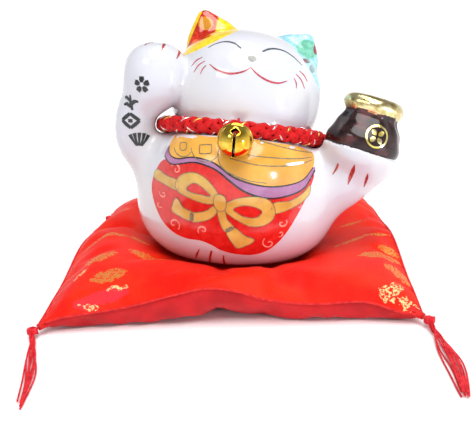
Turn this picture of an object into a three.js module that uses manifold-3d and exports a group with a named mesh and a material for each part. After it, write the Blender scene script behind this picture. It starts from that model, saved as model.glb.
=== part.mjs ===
// Beckoning lucky-cat figurine: a hollow slip-cast ceramic cat with a jingle bell on a braided
// collar, sitting in the dent of a stuffed square cushion that has a tassel at each corner.
// Millimetres, +Z up, the cat faces -Y, origin on the cushion's underside at its middle.

import * as THREE from 'three';
import { mergeVertices } from 'three/addons/utils/BufferGeometryUtils.js';
import Module from 'manifold-3d';

const wasm = await Module();
wasm.setup();

const deg = THREE.MathUtils.degToRad;
const clamp = THREE.MathUtils.clamp;
const v3 = (x, y, z) => new THREE.Vector3(x, y, z);
const FRONT = v3(0, -1, 0);
const GAP = 0.35;                 // left between pieces that touch

// ---------------------------------------------------------------- driving dimensions

const cushion = {
  halfX: 81.5,                    // centre to seam at the middle of a side
  halfY: 77.5,
  cornerPull: 2.2,                // how much further the drawn-out corners reach
  seamHigh: 14,                   // seam height at the middle of a side
  seamLow: 5,                     // seam height at a corner
  crown: 14,                      // top of the stuffing above the seam, half way back
  crownBack: 4,                   // extra crown at the back, and as much less in front of the cat
  basin: 0.32,                    // slope of the hollow that the cat's weight makes round its foot
  belly: 17,                      // depth of the underside below the seam, before the table flattens it
  cloth: 0.8,                     // thickness of a cover panel
  cells: 14,                      // grid cells across a panel
};

const torso = {
  rx: 52.5, ry: 46, rz: 38.5, middle: 33.5, wall: 4.5,
  power: 2.2, lowPower: 2.6,      // squareness of its outline above and below the middle
};
const head = { rx: 38, ry: 35, up: 32, down: 31, middle: 18.5, power: 2.3, shift: -1.5, wall: 4.5 };
const chest = { rx: 40, ry: 38.2, rz: 31, y: -15, z: 46.5 };
const neckHeight = 64;            // collar level above the foot of the cat
const ventRadius = 5;             // the casting's vent hole in its foot

const cord = { radius: 4.1, rx: 39.8, ry: 37, lift: 0 };
const bell = {
  radius: 7.8, wall: 0.7, rimGap: 0.17, poleHole: 1.9,
  slit: 1.1, slitHole: 1.4, slitReach: deg(52),    // the slit's width, end holes and half length
  reach: 15.2, droop: deg(23),                     // from the cord to the bell, and how it hangs
};
const wire = 0.4;                 // radius of the bell's wire loop
const tieRadius = 0.35;           // of the thread that ties the bell on
const tassel = { knot: 2.6, neck: 1.6, spread: 3 };

// ---------------------------------------------------------------- frames

// A frame leans back by `lean`, rolls to its right by `roll` and is turned by `yaw`, in radians.
function frame(x, y, z, roll, lean, yaw = 0) {
  const group = new THREE.Group();
  group.position.set(x, y, z);
  group.rotation.set(-lean, roll, yaw, 'ZYX');
  group.updateMatrix();
  return group;
}

const part = new THREE.Group();
const cat = frame(0.8, -4, 9, deg(4), deg(5), deg(-2.3));
const headFrame = frame(2.5, -3, neckHeight, deg(8), deg(6));
const collarFrame = frame(1.5, -4, neckHeight, deg(3.5), deg(8));
const pouchFrame = frame(60.5, -20, 59, deg(14), deg(4));
part.add(cat);
cat.add(collarFrame);
cat.add(pouchFrame);

// ---------------------------------------------------------------- solids and geometry helpers

// A closed three.js geometry as a manifold solid, its faces turned outwards.
function solidOf(geometry) {
  const bare = geometry.clone();
  for (const name of ['normal', 'uv']) bare.deleteAttribute(name);
  const merged = mergeVertices(bare, 1e-4);
  const make = (triVerts) => new wasm.Manifold(
    new wasm.Mesh({ numProp: 3, vertProperties: merged.attributes.position.array, triVerts }));
  const faces = new Uint32Array(merged.index.array);
  const made = make(faces);
  return made.volume() > 0 ? made : make(faces.reverse());
}

function geometryOf(solid) {
  const mesh = solid.getMesh();
  const geometry = new THREE.BufferGeometry();
  geometry.setAttribute('position', new THREE.BufferAttribute(new Float32Array(mesh.vertProperties), 3));
  geometry.setIndex(new THREE.BufferAttribute(new Uint32Array(mesh.triVerts), 1));
  geometry.computeVertexNormals();
  return geometry;
}

const union = (solids) => solids.reduce((all, next) => all.add(next));

function addMesh(parent, name, geometry, material) {
  const mesh = new THREE.Mesh(geometryOf(solidOf(geometry)), material);
  mesh.name = name;
  parent.add(mesh);
  return mesh;
}

// Radius share of a superellipse at a height, both as shares of its half sizes.
const swell = (height, power) => Math.max(0, 1 - Math.abs(height) ** power) ** (1 / power);

// A profile turned round Z, wider in X than in Y by the two factors.
function turned(profile, sides, xScale = 1, yScale = 1) {
  return new THREE.LatheGeometry(profile.map(([r, z]) => new THREE.Vector2(r, z)), sides)
    .rotateX(Math.PI / 2)
    .scale(xScale, yScale, 1);
}

// A limb: a sphere drawn out along a curve. radiusAt(t) is its half width there and flat its
// depth as a share of that; the ends close as a rounded cap.
function limb(points, radiusAt, { flat = 1, sides = 14, rings = 14, blunt = 6 } = {}) {
  const curve = new THREE.CatmullRomCurve3(points);
  const geometry = new THREE.SphereGeometry(1, sides, rings);
  const at = geometry.attributes.position;
  for (let i = 0; i < at.count; i += 1) {
    const t = clamp((1 - at.getY(i)) / 2, 0, 1);
    const around = Math.hypot(at.getX(i), at.getZ(i)) || 1;
    const tangent = curve.getTangentAt(t);
    const side = new THREE.Vector3().crossVectors(FRONT, tangent).normalize();
    const front = new THREE.Vector3().crossVectors(tangent, side);
    const r = radiusAt(t) * Math.sqrt(Math.max(0, 1 - Math.abs(2 * t - 1) ** blunt));
    const p = curve.getPointAt(t)
      .addScaledVector(side, (r * at.getX(i)) / around)
      .addScaledVector(front, (r * flat * at.getZ(i)) / around);
    at.setXYZ(i, p.x, p.y, p.z);
  }
  return geometry;
}

function ball(radii, centre, sides = 20, rings = 14) {
  return new THREE.SphereGeometry(1, sides, rings)
    .rotateX(Math.PI / 2)
    .scale(...radii)
    .translate(...centre);
}

// A round wire or cord along points, with flat ends.
function strand(points, radius, sides, steps) {
  const section = new THREE.Shape(
    Array.from({ length: sides }, (_, i) => {
      const a = (2 * Math.PI * i) / sides;
      return new THREE.Vector2(radius * Math.cos(a), radius * Math.sin(a));
    }));
  return new THREE.ExtrudeGeometry(section, {
    steps, bevelEnabled: false, extrudePath: new THREE.CatmullRomCurve3(points),
  });
}

// ---------------------------------------------------------------- materials

const look = (color, roughness, metalness = 0) =>
  new THREE.MeshStandardMaterial({ color, roughness, metalness });
const glaze = look(0xf4f2f4, 0.12);
const brownGlaze = look(0x3a2220, 0.15);
const redCord = look(0xc81420, 0.6);
const brass = look(0xd9b33c, 0.2, 1);
const steel = look(0x9a9a98, 0.35, 1);
const brocade = look(0xe02412, 0.7);
const satin = look(0xb01822, 0.75);
const fibre = look(0xefece4, 0.95);
const redThread = look(0xd02a34, 0.6);

// ---------------------------------------------------------------- ceramic cat

// Radius share of the torso at a height above its foot, `inset` inside its outer skin.
function torsoShare(z, inset) {
  const level = (z - torso.middle) / (torso.rz - inset);
  return swell(level, level < 0 ? torso.lowPower : torso.power);
}

// The torso stands on a flat foot, below which the inside stays closed but for the vent.
function torsoGeometry(inset, sides, rings) {
  const profile = [[0, inset]];
  for (let i = 0; i <= rings; i += 1) {
    const rise = Math.sin(((i / rings) * Math.PI) / 2);
    const z = THREE.MathUtils.lerp(inset, torso.middle + torso.rz - inset, rise);
    profile.push([torsoShare(z, inset), z]);
  }
  return turned(profile, sides, torso.rx - inset, torso.ry - inset);
}

// The full chest, which the collar and the bell rest on.
function chestGeometry(inset, sides, rings) {
  const { rx, ry, rz, y, z } = chest;
  return ball([rx - inset, ry - inset, rz - inset], [0, y, z], sides, rings);
}

function headGeometry(inset, sides, rings) {
  const profile = [];
  for (let i = 0; i <= rings; i += 1) {
    const level = -Math.cos((i / rings) * Math.PI);
    const half = (level < 0 ? head.down : head.up) - inset;
    profile.push([swell(level, head.power), head.middle + half * level]);
  }
  return turned(profile, sides, head.rx - inset, head.ry - inset)
    .translate(head.shift, 0, 0)
    .applyMatrix4(headFrame.matrix);
}

// An ear: a wide, low triangle with a rounded tip, its lower half sunk in the head.
function earGeometry(side, height) {
  const widest = 15.5;
  const tip = 4.5;
  return limb(
    [v3(side * 11, 4, 28), v3(side * 19, 2, 41), v3(side * height / 2, -1, height)],
    (t) => THREE.MathUtils.lerp(widest, tip, Math.max(0, 2 * t - 1)),
    { flat: 0.55, sides: 12, rings: 12, blunt: 14 })
    .translate(head.shift, 0, 0)
    .applyMatrix4(headFrame.matrix);
}

// The raised arm bows out from the shoulder and ends in a paw beside the cheek.
function raisedArm() {
  const shoulder = ball([19, 17, 18], [-30, -7, 48], 14, 9);
  const arm = limb(
    [v3(-30, -7, 36), v3(-42, -9, 46), v3(-50.5, -12, 59), v3(-50.5, -15, 73), v3(-44, -18, 88)],
    (t) => 13 - 2 * Math.sin(Math.PI * t), { flat: 0.95 });
  const paw = ball([15, 13, 15.5], [0, 0, 0], 16, 12).rotateY(deg(20)).translate(-39.5, -19, 92);
  return [solidOf(shoulder), solidOf(arm), solidOf(paw)];
}

// The other arm reaches out to the side and holds its palm up under the pouch.
function carryingArm() {
  const arm = limb(
    [v3(14, -6, 34), v3(34, -11, 37), v3(50, -16, 43), v3(66, -20, 53)],
    (t) => 26 - 13 * t, { flat: 0.8, blunt: 8 });
  const palm = turned([[0, -14], [0.62, -12], [0.88, -6], [1, -1], [0.93, 1.2], [0, 1.2]], 20, 19.5, 16.5)
    .applyMatrix4(pouchFrame.matrix);
  return [solidOf(arm), solidOf(palm)];
}

// Sack profile from its flat bottom to the gathered mouth, grown by `extra` for the seat it leaves.
function pouchGeometry(extra) {
  const profile = [
    [0, 0], [17, 0], [18.4, 2.5], [17.8, 7], [15.4, 11.5], [13, 15.5], [12.6, 17.6],
    [14.4, 19], [14.8, 22], [13.2, 25], [8, 26.6], [0, 26.8],
  ];
  return turned(profile.map(([r, z]) => [r && r + extra, z === 0 ? -extra : z]), 22, 1, 0.82);
}

function catSolid() {
  const outside = union([
    solidOf(torsoGeometry(0, 32, 12)), solidOf(chestGeometry(0, 26, 14)),
    solidOf(headGeometry(0, 28, 14)),
    solidOf(earGeometry(-1, 55.5)), solidOf(earGeometry(1, 52.5)),
    ...raisedArm(), ...carryingArm(),
  ]);
  const inside = union([
    solidOf(torsoGeometry(torso.wall, 18, 7)), solidOf(chestGeometry(torso.wall, 14, 8)),
    solidOf(headGeometry(head.wall, 16, 8)),
  ]);
  const vent = solidOf(new THREE.CylinderGeometry(ventRadius, ventRadius, 20, 16).rotateX(Math.PI / 2));
  const seats = [
    solidOf(pouchGeometry(GAP).applyMatrix4(pouchFrame.matrix)),
    ...collarSeats().map((geometry) => solidOf(geometry.applyMatrix4(collarFrame.matrix))),
  ];
  return outside.subtract(inside).subtract(vent).subtract(union(seats));
}

// ---------------------------------------------------------------- collar

// The cord's centreline round the neck; turn 0 is at the throat and half a turn is the nape.
function neckLine(turn) {
  const a = 2 * Math.PI * turn;
  return v3(cord.rx * Math.sin(a), -cord.ry * Math.cos(a), cord.lift);
}

function aroundNeck(from, to, count) {
  return Array.from({ length: count + 1 }, (_, i) => neckLine(THREE.MathUtils.lerp(from, to, i / count)));
}

// A thread whipping closes the cord's two ends at the nape.
const whippingTurn = 0.028;
const whippingPath = () => aroundNeck(0.5 - whippingTurn, 0.5 + whippingTurn, 6);

// The thread that ties the bell on goes round the cord at the throat, a little slack on the
// bell's side, and turns about the cord as the bell swings up by `swing`.
const tieGeometry = (radius, swing = 0) => new THREE.TorusGeometry(cord.radius + 1.3, radius, 6, 22)
  .rotateY(Math.PI / 2)
  .translate(0, -0.7, 0)
  .rotateX(-swing)
  .translate(...neckLine(0));

// What the cord, its whipping and the bell's thread press clear in the crease of the neck.
function collarSeats() {
  return [
    strand(aroundNeck(-0.51, 0.01, 22), cord.radius + GAP, 10, 20),
    strand(aroundNeck(-0.01, 0.51, 22), cord.radius + GAP, 10, 20),
    strand(whippingPath(), cord.radius + 0.8 + 2 * GAP, 10, 4),
    ...[0, 20, 40, 60].map((swing) => tieGeometry(tieRadius + GAP, deg(swing))),
  ];
}

function addCollar() {
  const gapTurn = 0.6 / (2 * Math.PI * cord.rx);
  const loop = aroundNeck(-0.5 + gapTurn, 0.5 - gapTurn, 44);
  addMesh(collarFrame, 'collar_cord', strand(loop, cord.radius, 10, 40), redCord);

  const inner = cord.radius + GAP;
  const ring = new THREE.Shape().absarc(0, 0, inner + 0.8, 0, 2 * Math.PI);
  ring.holes.push(new THREE.Path().absarc(0, 0, inner, 0, 2 * Math.PI, true));
  addMesh(collarFrame, 'collar_whipping', new THREE.ExtrudeGeometry(ring, {
    curveSegments: 6, steps: 3, bevelEnabled: false,
    extrudePath: new THREE.CatmullRomCurve3(whippingPath()),
  }), redThread);
  addMesh(collarFrame, 'bell_tie_thread', tieGeometry(tieRadius), redThread);
}

// ---------------------------------------------------------------- jingle bell

// A thin bowl whose pole is at +Z, with a round hole of radius poleHole at the pole if it is not 0.
function bowl(poleHole) {
  const rings = 6;
  const arc = (radius) => Array.from({ length: rings + 1 }, (_, i) => {
    const start = Math.asin(bell.rimGap / radius);
    const end = Math.PI / 2 - Math.asin(poleHole / radius);
    const a = THREE.MathUtils.lerp(start, end, i / rings);
    return [radius * Math.max(0, Math.cos(a)), radius * Math.sin(a)];
  });
  const profile = [...arc(bell.radius - bell.wall).reverse(), ...arc(bell.radius)];
  if (poleHole) profile.push(profile[0]);
  return turned(profile, 18);
}

function addBell() {
  // It hangs from the throat; its own +Z runs back to the cord.
  const throat = new THREE.Group();
  throat.position.copy(neckLine(0));
  throat.rotation.x = bell.droop;
  collarFrame.add(throat);
  const middle = new THREE.Group();
  middle.position.y = -bell.reach;
  middle.rotation.x = -Math.PI / 2;
  throat.add(middle);

  addMesh(middle, 'bell_back_shell', bowl(bell.poleHole), brass);

  // The front shell is slit across its pole, and the slit ends in two round holes.
  const { radius, slit, slitHole, slitReach } = bell;
  const cuts = [-1, 1].map((side) => solidOf(
    new THREE.CylinderGeometry(slitHole, slitHole, radius, 12)
      .translate(0, radius, 0).rotateX(side * slitReach - Math.PI / 2)));
  const depth = radius * (1 - Math.cos(slitReach)) + 1;
  cuts.push(solidOf(new THREE.BoxGeometry(slit, 2 * radius * Math.sin(slitReach), depth)
    .translate(0, 0, depth / 2 - radius - 0.5)));
  const front = solidOf(bowl(0).rotateX(Math.PI)).subtract(union(cuts));
  addMesh(middle, 'bell_front_shell', geometryOf(front), brass);

  // Wire loop: its two feet are bent outwards behind the back shell's pole hole.
  const r = radius;
  const loop = [
    v3(-2.6, 0, r - 1.9), v3(-1.5, 0, r - 1.7), v3(-1.2, 0, r - 0.6), v3(-1.25, 0, r + 0.9),
    v3(-0.8, 0, r + 1.9), v3(0, 0, r + 2.3), v3(0.8, 0, r + 1.9), v3(1.25, 0, r + 0.9),
    v3(1.2, 0, r - 0.6), v3(1.5, 0, r - 1.7), v3(2.6, 0, r - 1.9),
  ];
  addMesh(middle, 'bell_wire_loop', strand(loop, wire, 6, 22), brass);

  const pellet = 1.9;
  const low = radius - bell.wall - pellet - GAP;
  addMesh(middle, 'bell_pellet', ball([pellet, pellet, pellet], [0, low, 0], 12, 8), steel);
}

// ---------------------------------------------------------------- cushion

// u and v run from -1 to 1 across the cushion.
const planX = (u, v) => u * (cushion.halfX + cushion.cornerPull * v ** 4);
const planY = (u, v) => v * (cushion.halfY + cushion.cornerPull * u ** 4);
const seamZ = (u, v) => THREE.MathUtils.lerp(cushion.seamHigh, cushion.seamLow, (u * v) ** 2);
const puff = (u, v) => Math.max(0, (1 - u ** 4) * (1 - v ** 4)) ** 0.5;

// The hollow under the cat: level with its tilted foot, and rising gently from the foot's rim.
const footRadius = torso.rx * torsoShare(0, 0);
function basinZ(x, y) {
  const at = new THREE.Vector2(x - cat.position.x, y - cat.position.y)
    .rotateAround(new THREE.Vector2(), -cat.rotation.z);
  const beyond = Math.max(0, Math.hypot(at.x, (at.y * torso.rx) / torso.ry) - footRadius - 6);
  const foot = cat.position.z - at.x * Math.tan(cat.rotation.y) + at.y * Math.tan(cat.rotation.x);
  return foot - 3 * GAP + cushion.basin * beyond;
}

// The two covers meet at the seam; away from it the stuffing keeps them apart.
const bottomZ = (u, v) => Math.max(0, seamZ(u, v) - cushion.belly * puff(u, v));
const liningsApart = 2 * cushion.cloth + GAP;

function topZ(u, v) {
  const free = seamZ(u, v) + (cushion.crown + cushion.crownBack * v) * puff(u, v);
  const pressed = basinZ(planX(u, v), planY(u, v));
  return Math.max(Math.min(free, pressed), bottomZ(u, v) + liningsApart);
}

// A slab of the cushion between two height functions, on a grid that is finer near the seams.
// Leaving out the outermost `margin` rows of cells keeps it inside the seam.
function slab(upper, lower, margin = 0) {
  const cells = cushion.cells - 2 * margin;
  const plane = new THREE.PlaneGeometry(2, 2, cells, cells);
  const flat = plane.attributes.position;
  const { count } = flat;
  const spread = (s) => Math.sin((1.3 * s * cells) / cushion.cells) / Math.sin(1.3);
  const points = [];
  for (const height of [upper, lower]) {
    for (let i = 0; i < count; i += 1) {
      const u = spread(flat.getX(i));
      const v = spread(flat.getY(i));
      points.push(planX(u, v), planY(u, v), height(u, v));
    }
  }
  const over = Array.from(plane.index.array);
  const under = over.map((i) => i + count).reverse();
  const row = cells + 1;
  const walls = [];
  for (let i = 0; i < cells; i += 1) {
    const sides = [
      [i, i + 1], [(i + 1) * row - 1, (i + 2) * row - 1],
      [count - 1 - i, count - 2 - i], [(cells - i) * row, (cells - i - 1) * row],
    ];
    for (const [a, b] of sides) walls.push(a, b, b + count, a, b + count, a + count);
  }
  const geometry = new THREE.BufferGeometry();
  geometry.setAttribute('position', new THREE.Float32BufferAttribute(points, 3));
  geometry.setIndex([...over, ...under, ...walls]);
  return geometry;
}

function addCushion() {
  const { cloth } = cushion;
  addMesh(part, 'cushion_top_panel', slab(topZ, (u, v) => topZ(u, v) - cloth), brocade);
  addMesh(part, 'cushion_bottom_panel', slab((u, v) => bottomZ(u, v) + cloth, bottomZ), satin);
  addMesh(part, 'cushion_stuffing', slab(
    (u, v) => topZ(u, v) - cloth - GAP,
    (u, v) => bottomZ(u, v) + cloth + GAP, 1), fibre);
}

// ---------------------------------------------------------------- tassels

// Each tassel is tied to its corner and lies on the table in its own direction.
function addTassel(name, sideX, sideY, heading, length) {
  const { knot, neck, spread } = tassel;
  const corner = new THREE.Group();
  const out = cushion.cornerPull + GAP + 0.7 * knot;
  corner.position.set(sideX * (cushion.halfX + out), sideY * (cushion.halfY + out), knot + 0.6);
  corner.rotation.z = heading;
  part.add(corner);
  addMesh(corner, `${name}_tassel_knot`, ball([knot, knot, knot], [0, 0, 0], 8, 6), redThread);
  const start = knot + GAP;
  const low = spread - knot - 0.5;
  const threads = limb(
    [v3(start, 0, -0.3), v3(start + 7, 0, low), v3(length * 0.6, 1.2, low), v3(length, 0, low)],
    (t) => neck + (spread - neck) * Math.sin(Math.PI * Math.min(1, 0.72 * t)),
    { sides: 8, rings: 9, blunt: 12 });
  addMesh(corner, `${name}_tassel_threads`, threads, redThread);
}

// ---------------------------------------------------------------- assembly

addMesh(cat, 'ceramic_cat', geometryOf(catSolid()), glaze);
addMesh(pouchFrame, 'held_pouch', pouchGeometry(0), brownGlaze);
addCollar();
addBell();
addCushion();
addTassel('front_left', -1, -1, deg(-78), 58);
addTassel('front_right', 1, -1, deg(-93), 56);
addTassel('back_left', -1, 1, deg(35), 50);
addTassel('back_right', 1, 1, deg(145), 50);

export default part;
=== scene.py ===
"""Looks of the beckoning cat on its cushion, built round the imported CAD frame.

Lengths below are in millimetres and angles in degrees; meshes are turned into metres as they are made.
"""

import math

import bpy
import numpy as np
from mathutils import Matrix, Vector
from mathutils.bvhtree import BVHTree
from mathutils.geometry import delaunay_2d_cdt


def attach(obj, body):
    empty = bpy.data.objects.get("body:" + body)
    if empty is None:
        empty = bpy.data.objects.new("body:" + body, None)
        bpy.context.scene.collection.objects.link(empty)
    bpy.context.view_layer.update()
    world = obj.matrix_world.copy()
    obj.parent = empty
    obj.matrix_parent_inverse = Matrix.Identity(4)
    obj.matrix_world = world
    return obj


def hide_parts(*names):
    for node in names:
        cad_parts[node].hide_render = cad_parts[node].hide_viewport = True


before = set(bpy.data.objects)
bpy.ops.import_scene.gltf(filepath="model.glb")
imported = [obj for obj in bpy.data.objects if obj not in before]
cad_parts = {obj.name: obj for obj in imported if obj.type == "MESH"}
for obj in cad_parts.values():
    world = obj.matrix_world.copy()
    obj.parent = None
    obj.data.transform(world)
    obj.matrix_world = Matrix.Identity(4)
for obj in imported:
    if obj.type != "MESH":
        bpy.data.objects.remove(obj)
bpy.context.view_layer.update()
MM = 0.001
deg = math.radians


# ------------------------------------------------------------------ camera, light and floor

def rotation(axis, angle):
    """3 by 3 matrix of a turn about X, Y or Z, in degrees."""
    c, s = math.cos(deg(angle)), math.sin(deg(angle))
    i, j = {"X": (1, 2), "Y": (2, 0), "Z": (0, 1)}[axis]
    made = np.eye(3)
    made[i, i] = made[j, j] = c
    made[i, j], made[j, i] = -s, s
    return made


def add_camera():
    """The camera looks slightly down at the cat, a little from its left and rolled a little."""
    azimuth, elevation, roll = 2.2, 17.0, -2.6
    aim = np.array([2.9, -2.1, 29.5])
    distance = 362
    turn = rotation("Z", azimuth) @ rotation("X", 90 - elevation) @ rotation("Z", roll)
    camera = bpy.data.objects.new("camera", bpy.data.cameras.new("camera"))
    camera.data.sensor_width = 36
    camera.data.lens = 51.5
    camera.data.clip_start = 0.01
    camera.matrix_world = Matrix.LocRotScale((aim + distance * turn[:, 2]) * MM, Matrix(turn), None)
    bpy.context.collection.objects.link(camera)
    bpy.context.scene.camera = camera


def add_light(name, place, size, power, colour=(1, 1, 1)):
    """A soft rectangular lamp that faces the object."""
    data = bpy.data.lights.new(name, "AREA")
    data.shape = "RECTANGLE"
    data.size, data.size_y = size[0] * MM, size[1] * MM
    data.energy = power
    data.color = colour
    lamp = bpy.data.objects.new(name, data)
    lamp.location = Vector(place) * MM
    lamp.rotation_euler = (Vector((0, 0, 50)) - Vector(place)).to_track_quat("-Z", "Y").to_euler()
    bpy.context.collection.objects.link(lamp)


def add_studio():
    """A pale floor under an even white sky, with lamps in front on both sides and above."""
    size = 4000 * MM
    corners = [(-size, -size, 0), (size, -size, 0), (size, size, 0), (-size, size, 0)]
    mesh = bpy.data.meshes.new("floor")
    mesh.from_pydata(corners, [], [(0, 1, 2, 3)])
    floor = bpy.data.objects.new("floor", mesh)
    floor.location.z = -0.2 * MM
    bpy.context.collection.objects.link(floor)
    look = Look("pale_floor", (0.93, 0.93, 0.93), 0.6)
    look.base(look.mix(look.noise(0.002), (0.95, 0.95, 0.96), (0.97, 0.97, 0.97)))
    mesh.materials.append(look.material)

    add_light("key", (-380, -520, 560), (230, 170), 0.55, (1.0, 0.98, 0.95))
    add_light("fill", (480, -400, 90), (56, 104), 1.0, (0.8, 0.88, 1.0))
    add_light("top", (60, 80, 640), (200, 160), 0.4)

    # A wide soft sun lights the floor evenly as far as it goes.
    sun = bpy.data.lights.new("sky_light", "SUN")
    sun.energy = 3.0
    sun.angle = deg(50)
    daylight = bpy.data.objects.new("sky_light", sun)
    daylight.rotation_euler = (deg(22), deg(9), 0)
    bpy.context.collection.objects.link(daylight)

    # The surroundings are white behind the object, and dimmer overhead, in front and far left.
    world = bpy.data.worlds.new("sky")
    world.use_nodes = True
    sky = Nodes(world.node_tree)
    split = sky.add("SeparateXYZ", {0: sky.add("TexCoord").outputs["Generated"]})
    strength = 1.0
    for axis, start, end, dark, light in (
            ("Z", 0.6, 0.12, 0.26, 1.05), ("Y", -0.6, 0.2, 0.9, 1.0), ("X", -1.0, -0.45, 0.75, 1.0)):
        limits = {"From Min": start, "From Max": end, "To Min": dark, "To Max": light}
        ramp = sky.add("MapRange", {"Value": split.outputs[axis], **limits})
        strength = sky.math("MULTIPLY", strength, ramp.outputs[0])
    background = world.node_tree.nodes["Background"]
    sky.put(background.inputs["Strength"], strength)
    sky.put(background.inputs["Color"], (0.985, 0.985, 1.0))
    bpy.context.scene.world = world
    bpy.context.scene.view_settings.view_transform = "Standard"


# ------------------------------------------------------------------ materials

def srgb(red, green, blue):
    """A colour as seen on a screen, 0 to 255, in the linear values that shaders take."""
    share = np.array([red, green, blue]) / 255
    linear = np.where(share <= 0.04045, share / 12.92, ((share + 0.055) / 1.055) ** 2.4)
    return tuple(float(c) for c in linear)


class Nodes:
    """A node tree and short ways to add to it."""

    def __init__(self, tree):
        self.tree = tree

    def add(self, kind, inputs=None, **settings):
        node = self.tree.nodes.new("ShaderNode" + kind)
        for key, value in settings.items():
            setattr(node, key, value)
        for key, value in (inputs or {}).items():
            self.put(node.inputs[key], value)
        return node

    def put(self, socket, value):
        if isinstance(value, bpy.types.NodeSocket):
            self.tree.links.new(value, socket)
        elif socket.type == "RGBA" and len(value) == 3:
            socket.default_value = (*value, 1)
        else:
            socket.default_value = value

    def math(self, operation, a, b=0.0, c=0.0):
        return self.add("Math", {0: a, 1: b, 2: c}, operation=operation).outputs[0]


class Look(Nodes):
    """A Principled material whose colour, roughness and bump come from nodes in millimetres."""

    def __init__(self, name, colour, roughness, **sockets):
        self.material = bpy.data.materials.new(name)
        self.material.use_nodes = True
        self.material.diffuse_color = (*colour, 1)
        super().__init__(self.material.node_tree)
        self.shader = self.tree.nodes["Principled BSDF"]
        self.put(self.shader.inputs["Base Color"], colour)
        self.put(self.shader.inputs["Roughness"], roughness)
        for socket, value in sockets.items():
            self.put(self.shader.inputs[socket.replace("_", " ")], value)
        at = self.add("TexCoord").outputs["Object"]
        self.place = self.add("VectorMath", {0: at, 1: (1000, 1000, 1000)}, operation="MULTIPLY").outputs[0]

    def noise(self, scale, detail=2.0, place=None, **more):
        inputs = {"Vector": place or self.place, "Scale": scale, "Detail": detail, **more}
        return self.add("TexNoise", inputs).outputs[0]

    def wave(self, scale, direction, place=None, **settings):
        inputs = {"Vector": place or self.place, "Scale": scale}
        return self.add("TexWave", inputs, bands_direction=direction, **settings).outputs[1]

    def step(self, value, low, high):
        """0 below low, 1 above high and smooth between."""
        inputs = {"Value": value, "From Min": low, "From Max": high}
        return self.add("MapRange", inputs, interpolation_type="SMOOTHSTEP").outputs[0]

    def mix(self, share, a, b):
        node = self.add("Mix", data_type="RGBA")
        self.put(node.inputs[0], share)
        self.put(node.inputs[6], a)
        self.put(node.inputs[7], b)
        return node.outputs[2]

    def shade(self, value, span, low, high):
        """From one screen colour to another as value crosses a span."""
        return self.mix(self.step(value, *span), srgb(*low), srgb(*high))

    def base(self, colour):
        self.put(self.shader.inputs["Base Color"], colour)

    def rough(self, value, low, high):
        """Roughness between low and high as value goes from 0 to 1."""
        inputs = {"Value": value, "To Min": low, "To Max": high}
        self.put(self.shader.inputs["Roughness"], self.add("MapRange", inputs).outputs[0])

    def bump(self, height, distance, strength=1.0):
        inputs = {"Height": height, "Distance": distance * MM, "Strength": strength}
        if self.shader.inputs["Normal"].links:
            inputs["Normal"] = self.shader.inputs["Normal"].links[0].from_socket
        self.put(self.shader.inputs["Normal"], self.add("Bump", inputs).outputs[0])


# ------------------------------------------------------------------ frames, as in the CAD

class Frame:
    """A place and tilt: leaned back, rolled to its right, then turned about Z."""

    def __init__(self, place, roll=0, lean=0, yaw=0, parent=None):
        turn = rotation("Z", yaw) @ rotation("Y", roll) @ rotation("X", -lean)
        self.turn = parent.turn @ turn if parent else turn
        self.place = parent.out(np.array(place, float)) if parent else np.array(place, float)

    def out(self, points):
        return np.asarray(points, float) @ self.turn.T + self.place

    def into(self, points):
        return (np.asarray(points, float) - self.place) @ self.turn


CORD_RADIUS = 4.1
CORD_X, CORD_Y = 39.8, 37.0       # half sizes of the collar's oval
BELL_RADIUS, BELL_WALL = 7.8, 0.7
SKIN_STEP = 1.35                  # spacing of the cat's skin mesh
CAT = Frame((0.8, -4, 9), roll=4, lean=5, yaw=-2.3)
HEAD = Frame((1.7, -3, 64), roll=8, lean=6, parent=CAT)
COLLAR = Frame((1.5, -4, 64), roll=3.5, lean=8, parent=CAT)
POUCH = Frame((60.5, -20, 59), roll=14, lean=4, parent=CAT)
THROAT = Frame((0, -CORD_Y, 0), lean=-23, parent=COLLAR)
BELL = Frame((0, -15.2, 0), lean=90, parent=THROAT)


# ------------------------------------------------------------------ curves

def spline(points, count, closed=False):
    """Points evenly along a Catmull-Rom curve through the given ones."""
    p = np.array(points, float)
    if closed:
        p = np.vstack([p[-1:], p, p[:2]])
    else:
        p = np.vstack([2 * p[0] - p[1], p, 2 * p[-1] - p[-2]])
    t = np.linspace(0, 1, 12, endpoint=False)[:, None]
    fine = [
        0.5 * (2 * b + (c - a) * t + (2 * a - 5 * b + 4 * c - d) * t**2 + (3 * b - a - 3 * c + d) * t**3)
        for a, b, c, d in zip(p, p[1:], p[2:], p[3:])
    ]
    fine = np.vstack([*fine, p[-2:-1]])
    along = np.r_[0, np.cumsum(np.linalg.norm(np.diff(fine, axis=0), axis=1))]
    want = np.linspace(0, along[-1], count, endpoint=not closed)
    return np.stack([np.interp(want, along, fine[:, i]) for i in range(p.shape[1])], 1)


def length_of(points):
    return float(np.linalg.norm(np.diff(np.array(points, float), axis=0), axis=1).sum())


def outline(points, spacing=0.9):
    """A smooth closed outline through the given points."""
    closed = list(points) + [points[0]]
    return spline(points, max(12, int(length_of(closed) / spacing)), closed=True)


def unit(vectors):
    return vectors / np.maximum(np.linalg.norm(vectors, axis=-1, keepdims=True), 1e-9)


# ------------------------------------------------------------------ implicit shapes

def smooth_min(a, b, width):
    """The lower of two fields, rounded where they meet."""
    h = np.maximum(width - np.abs(a - b), 0) / width
    return np.minimum(a, b) - h * h * width / 4


def smooth_max(a, b, width):
    return -smooth_min(-a, -b, width)


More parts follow.
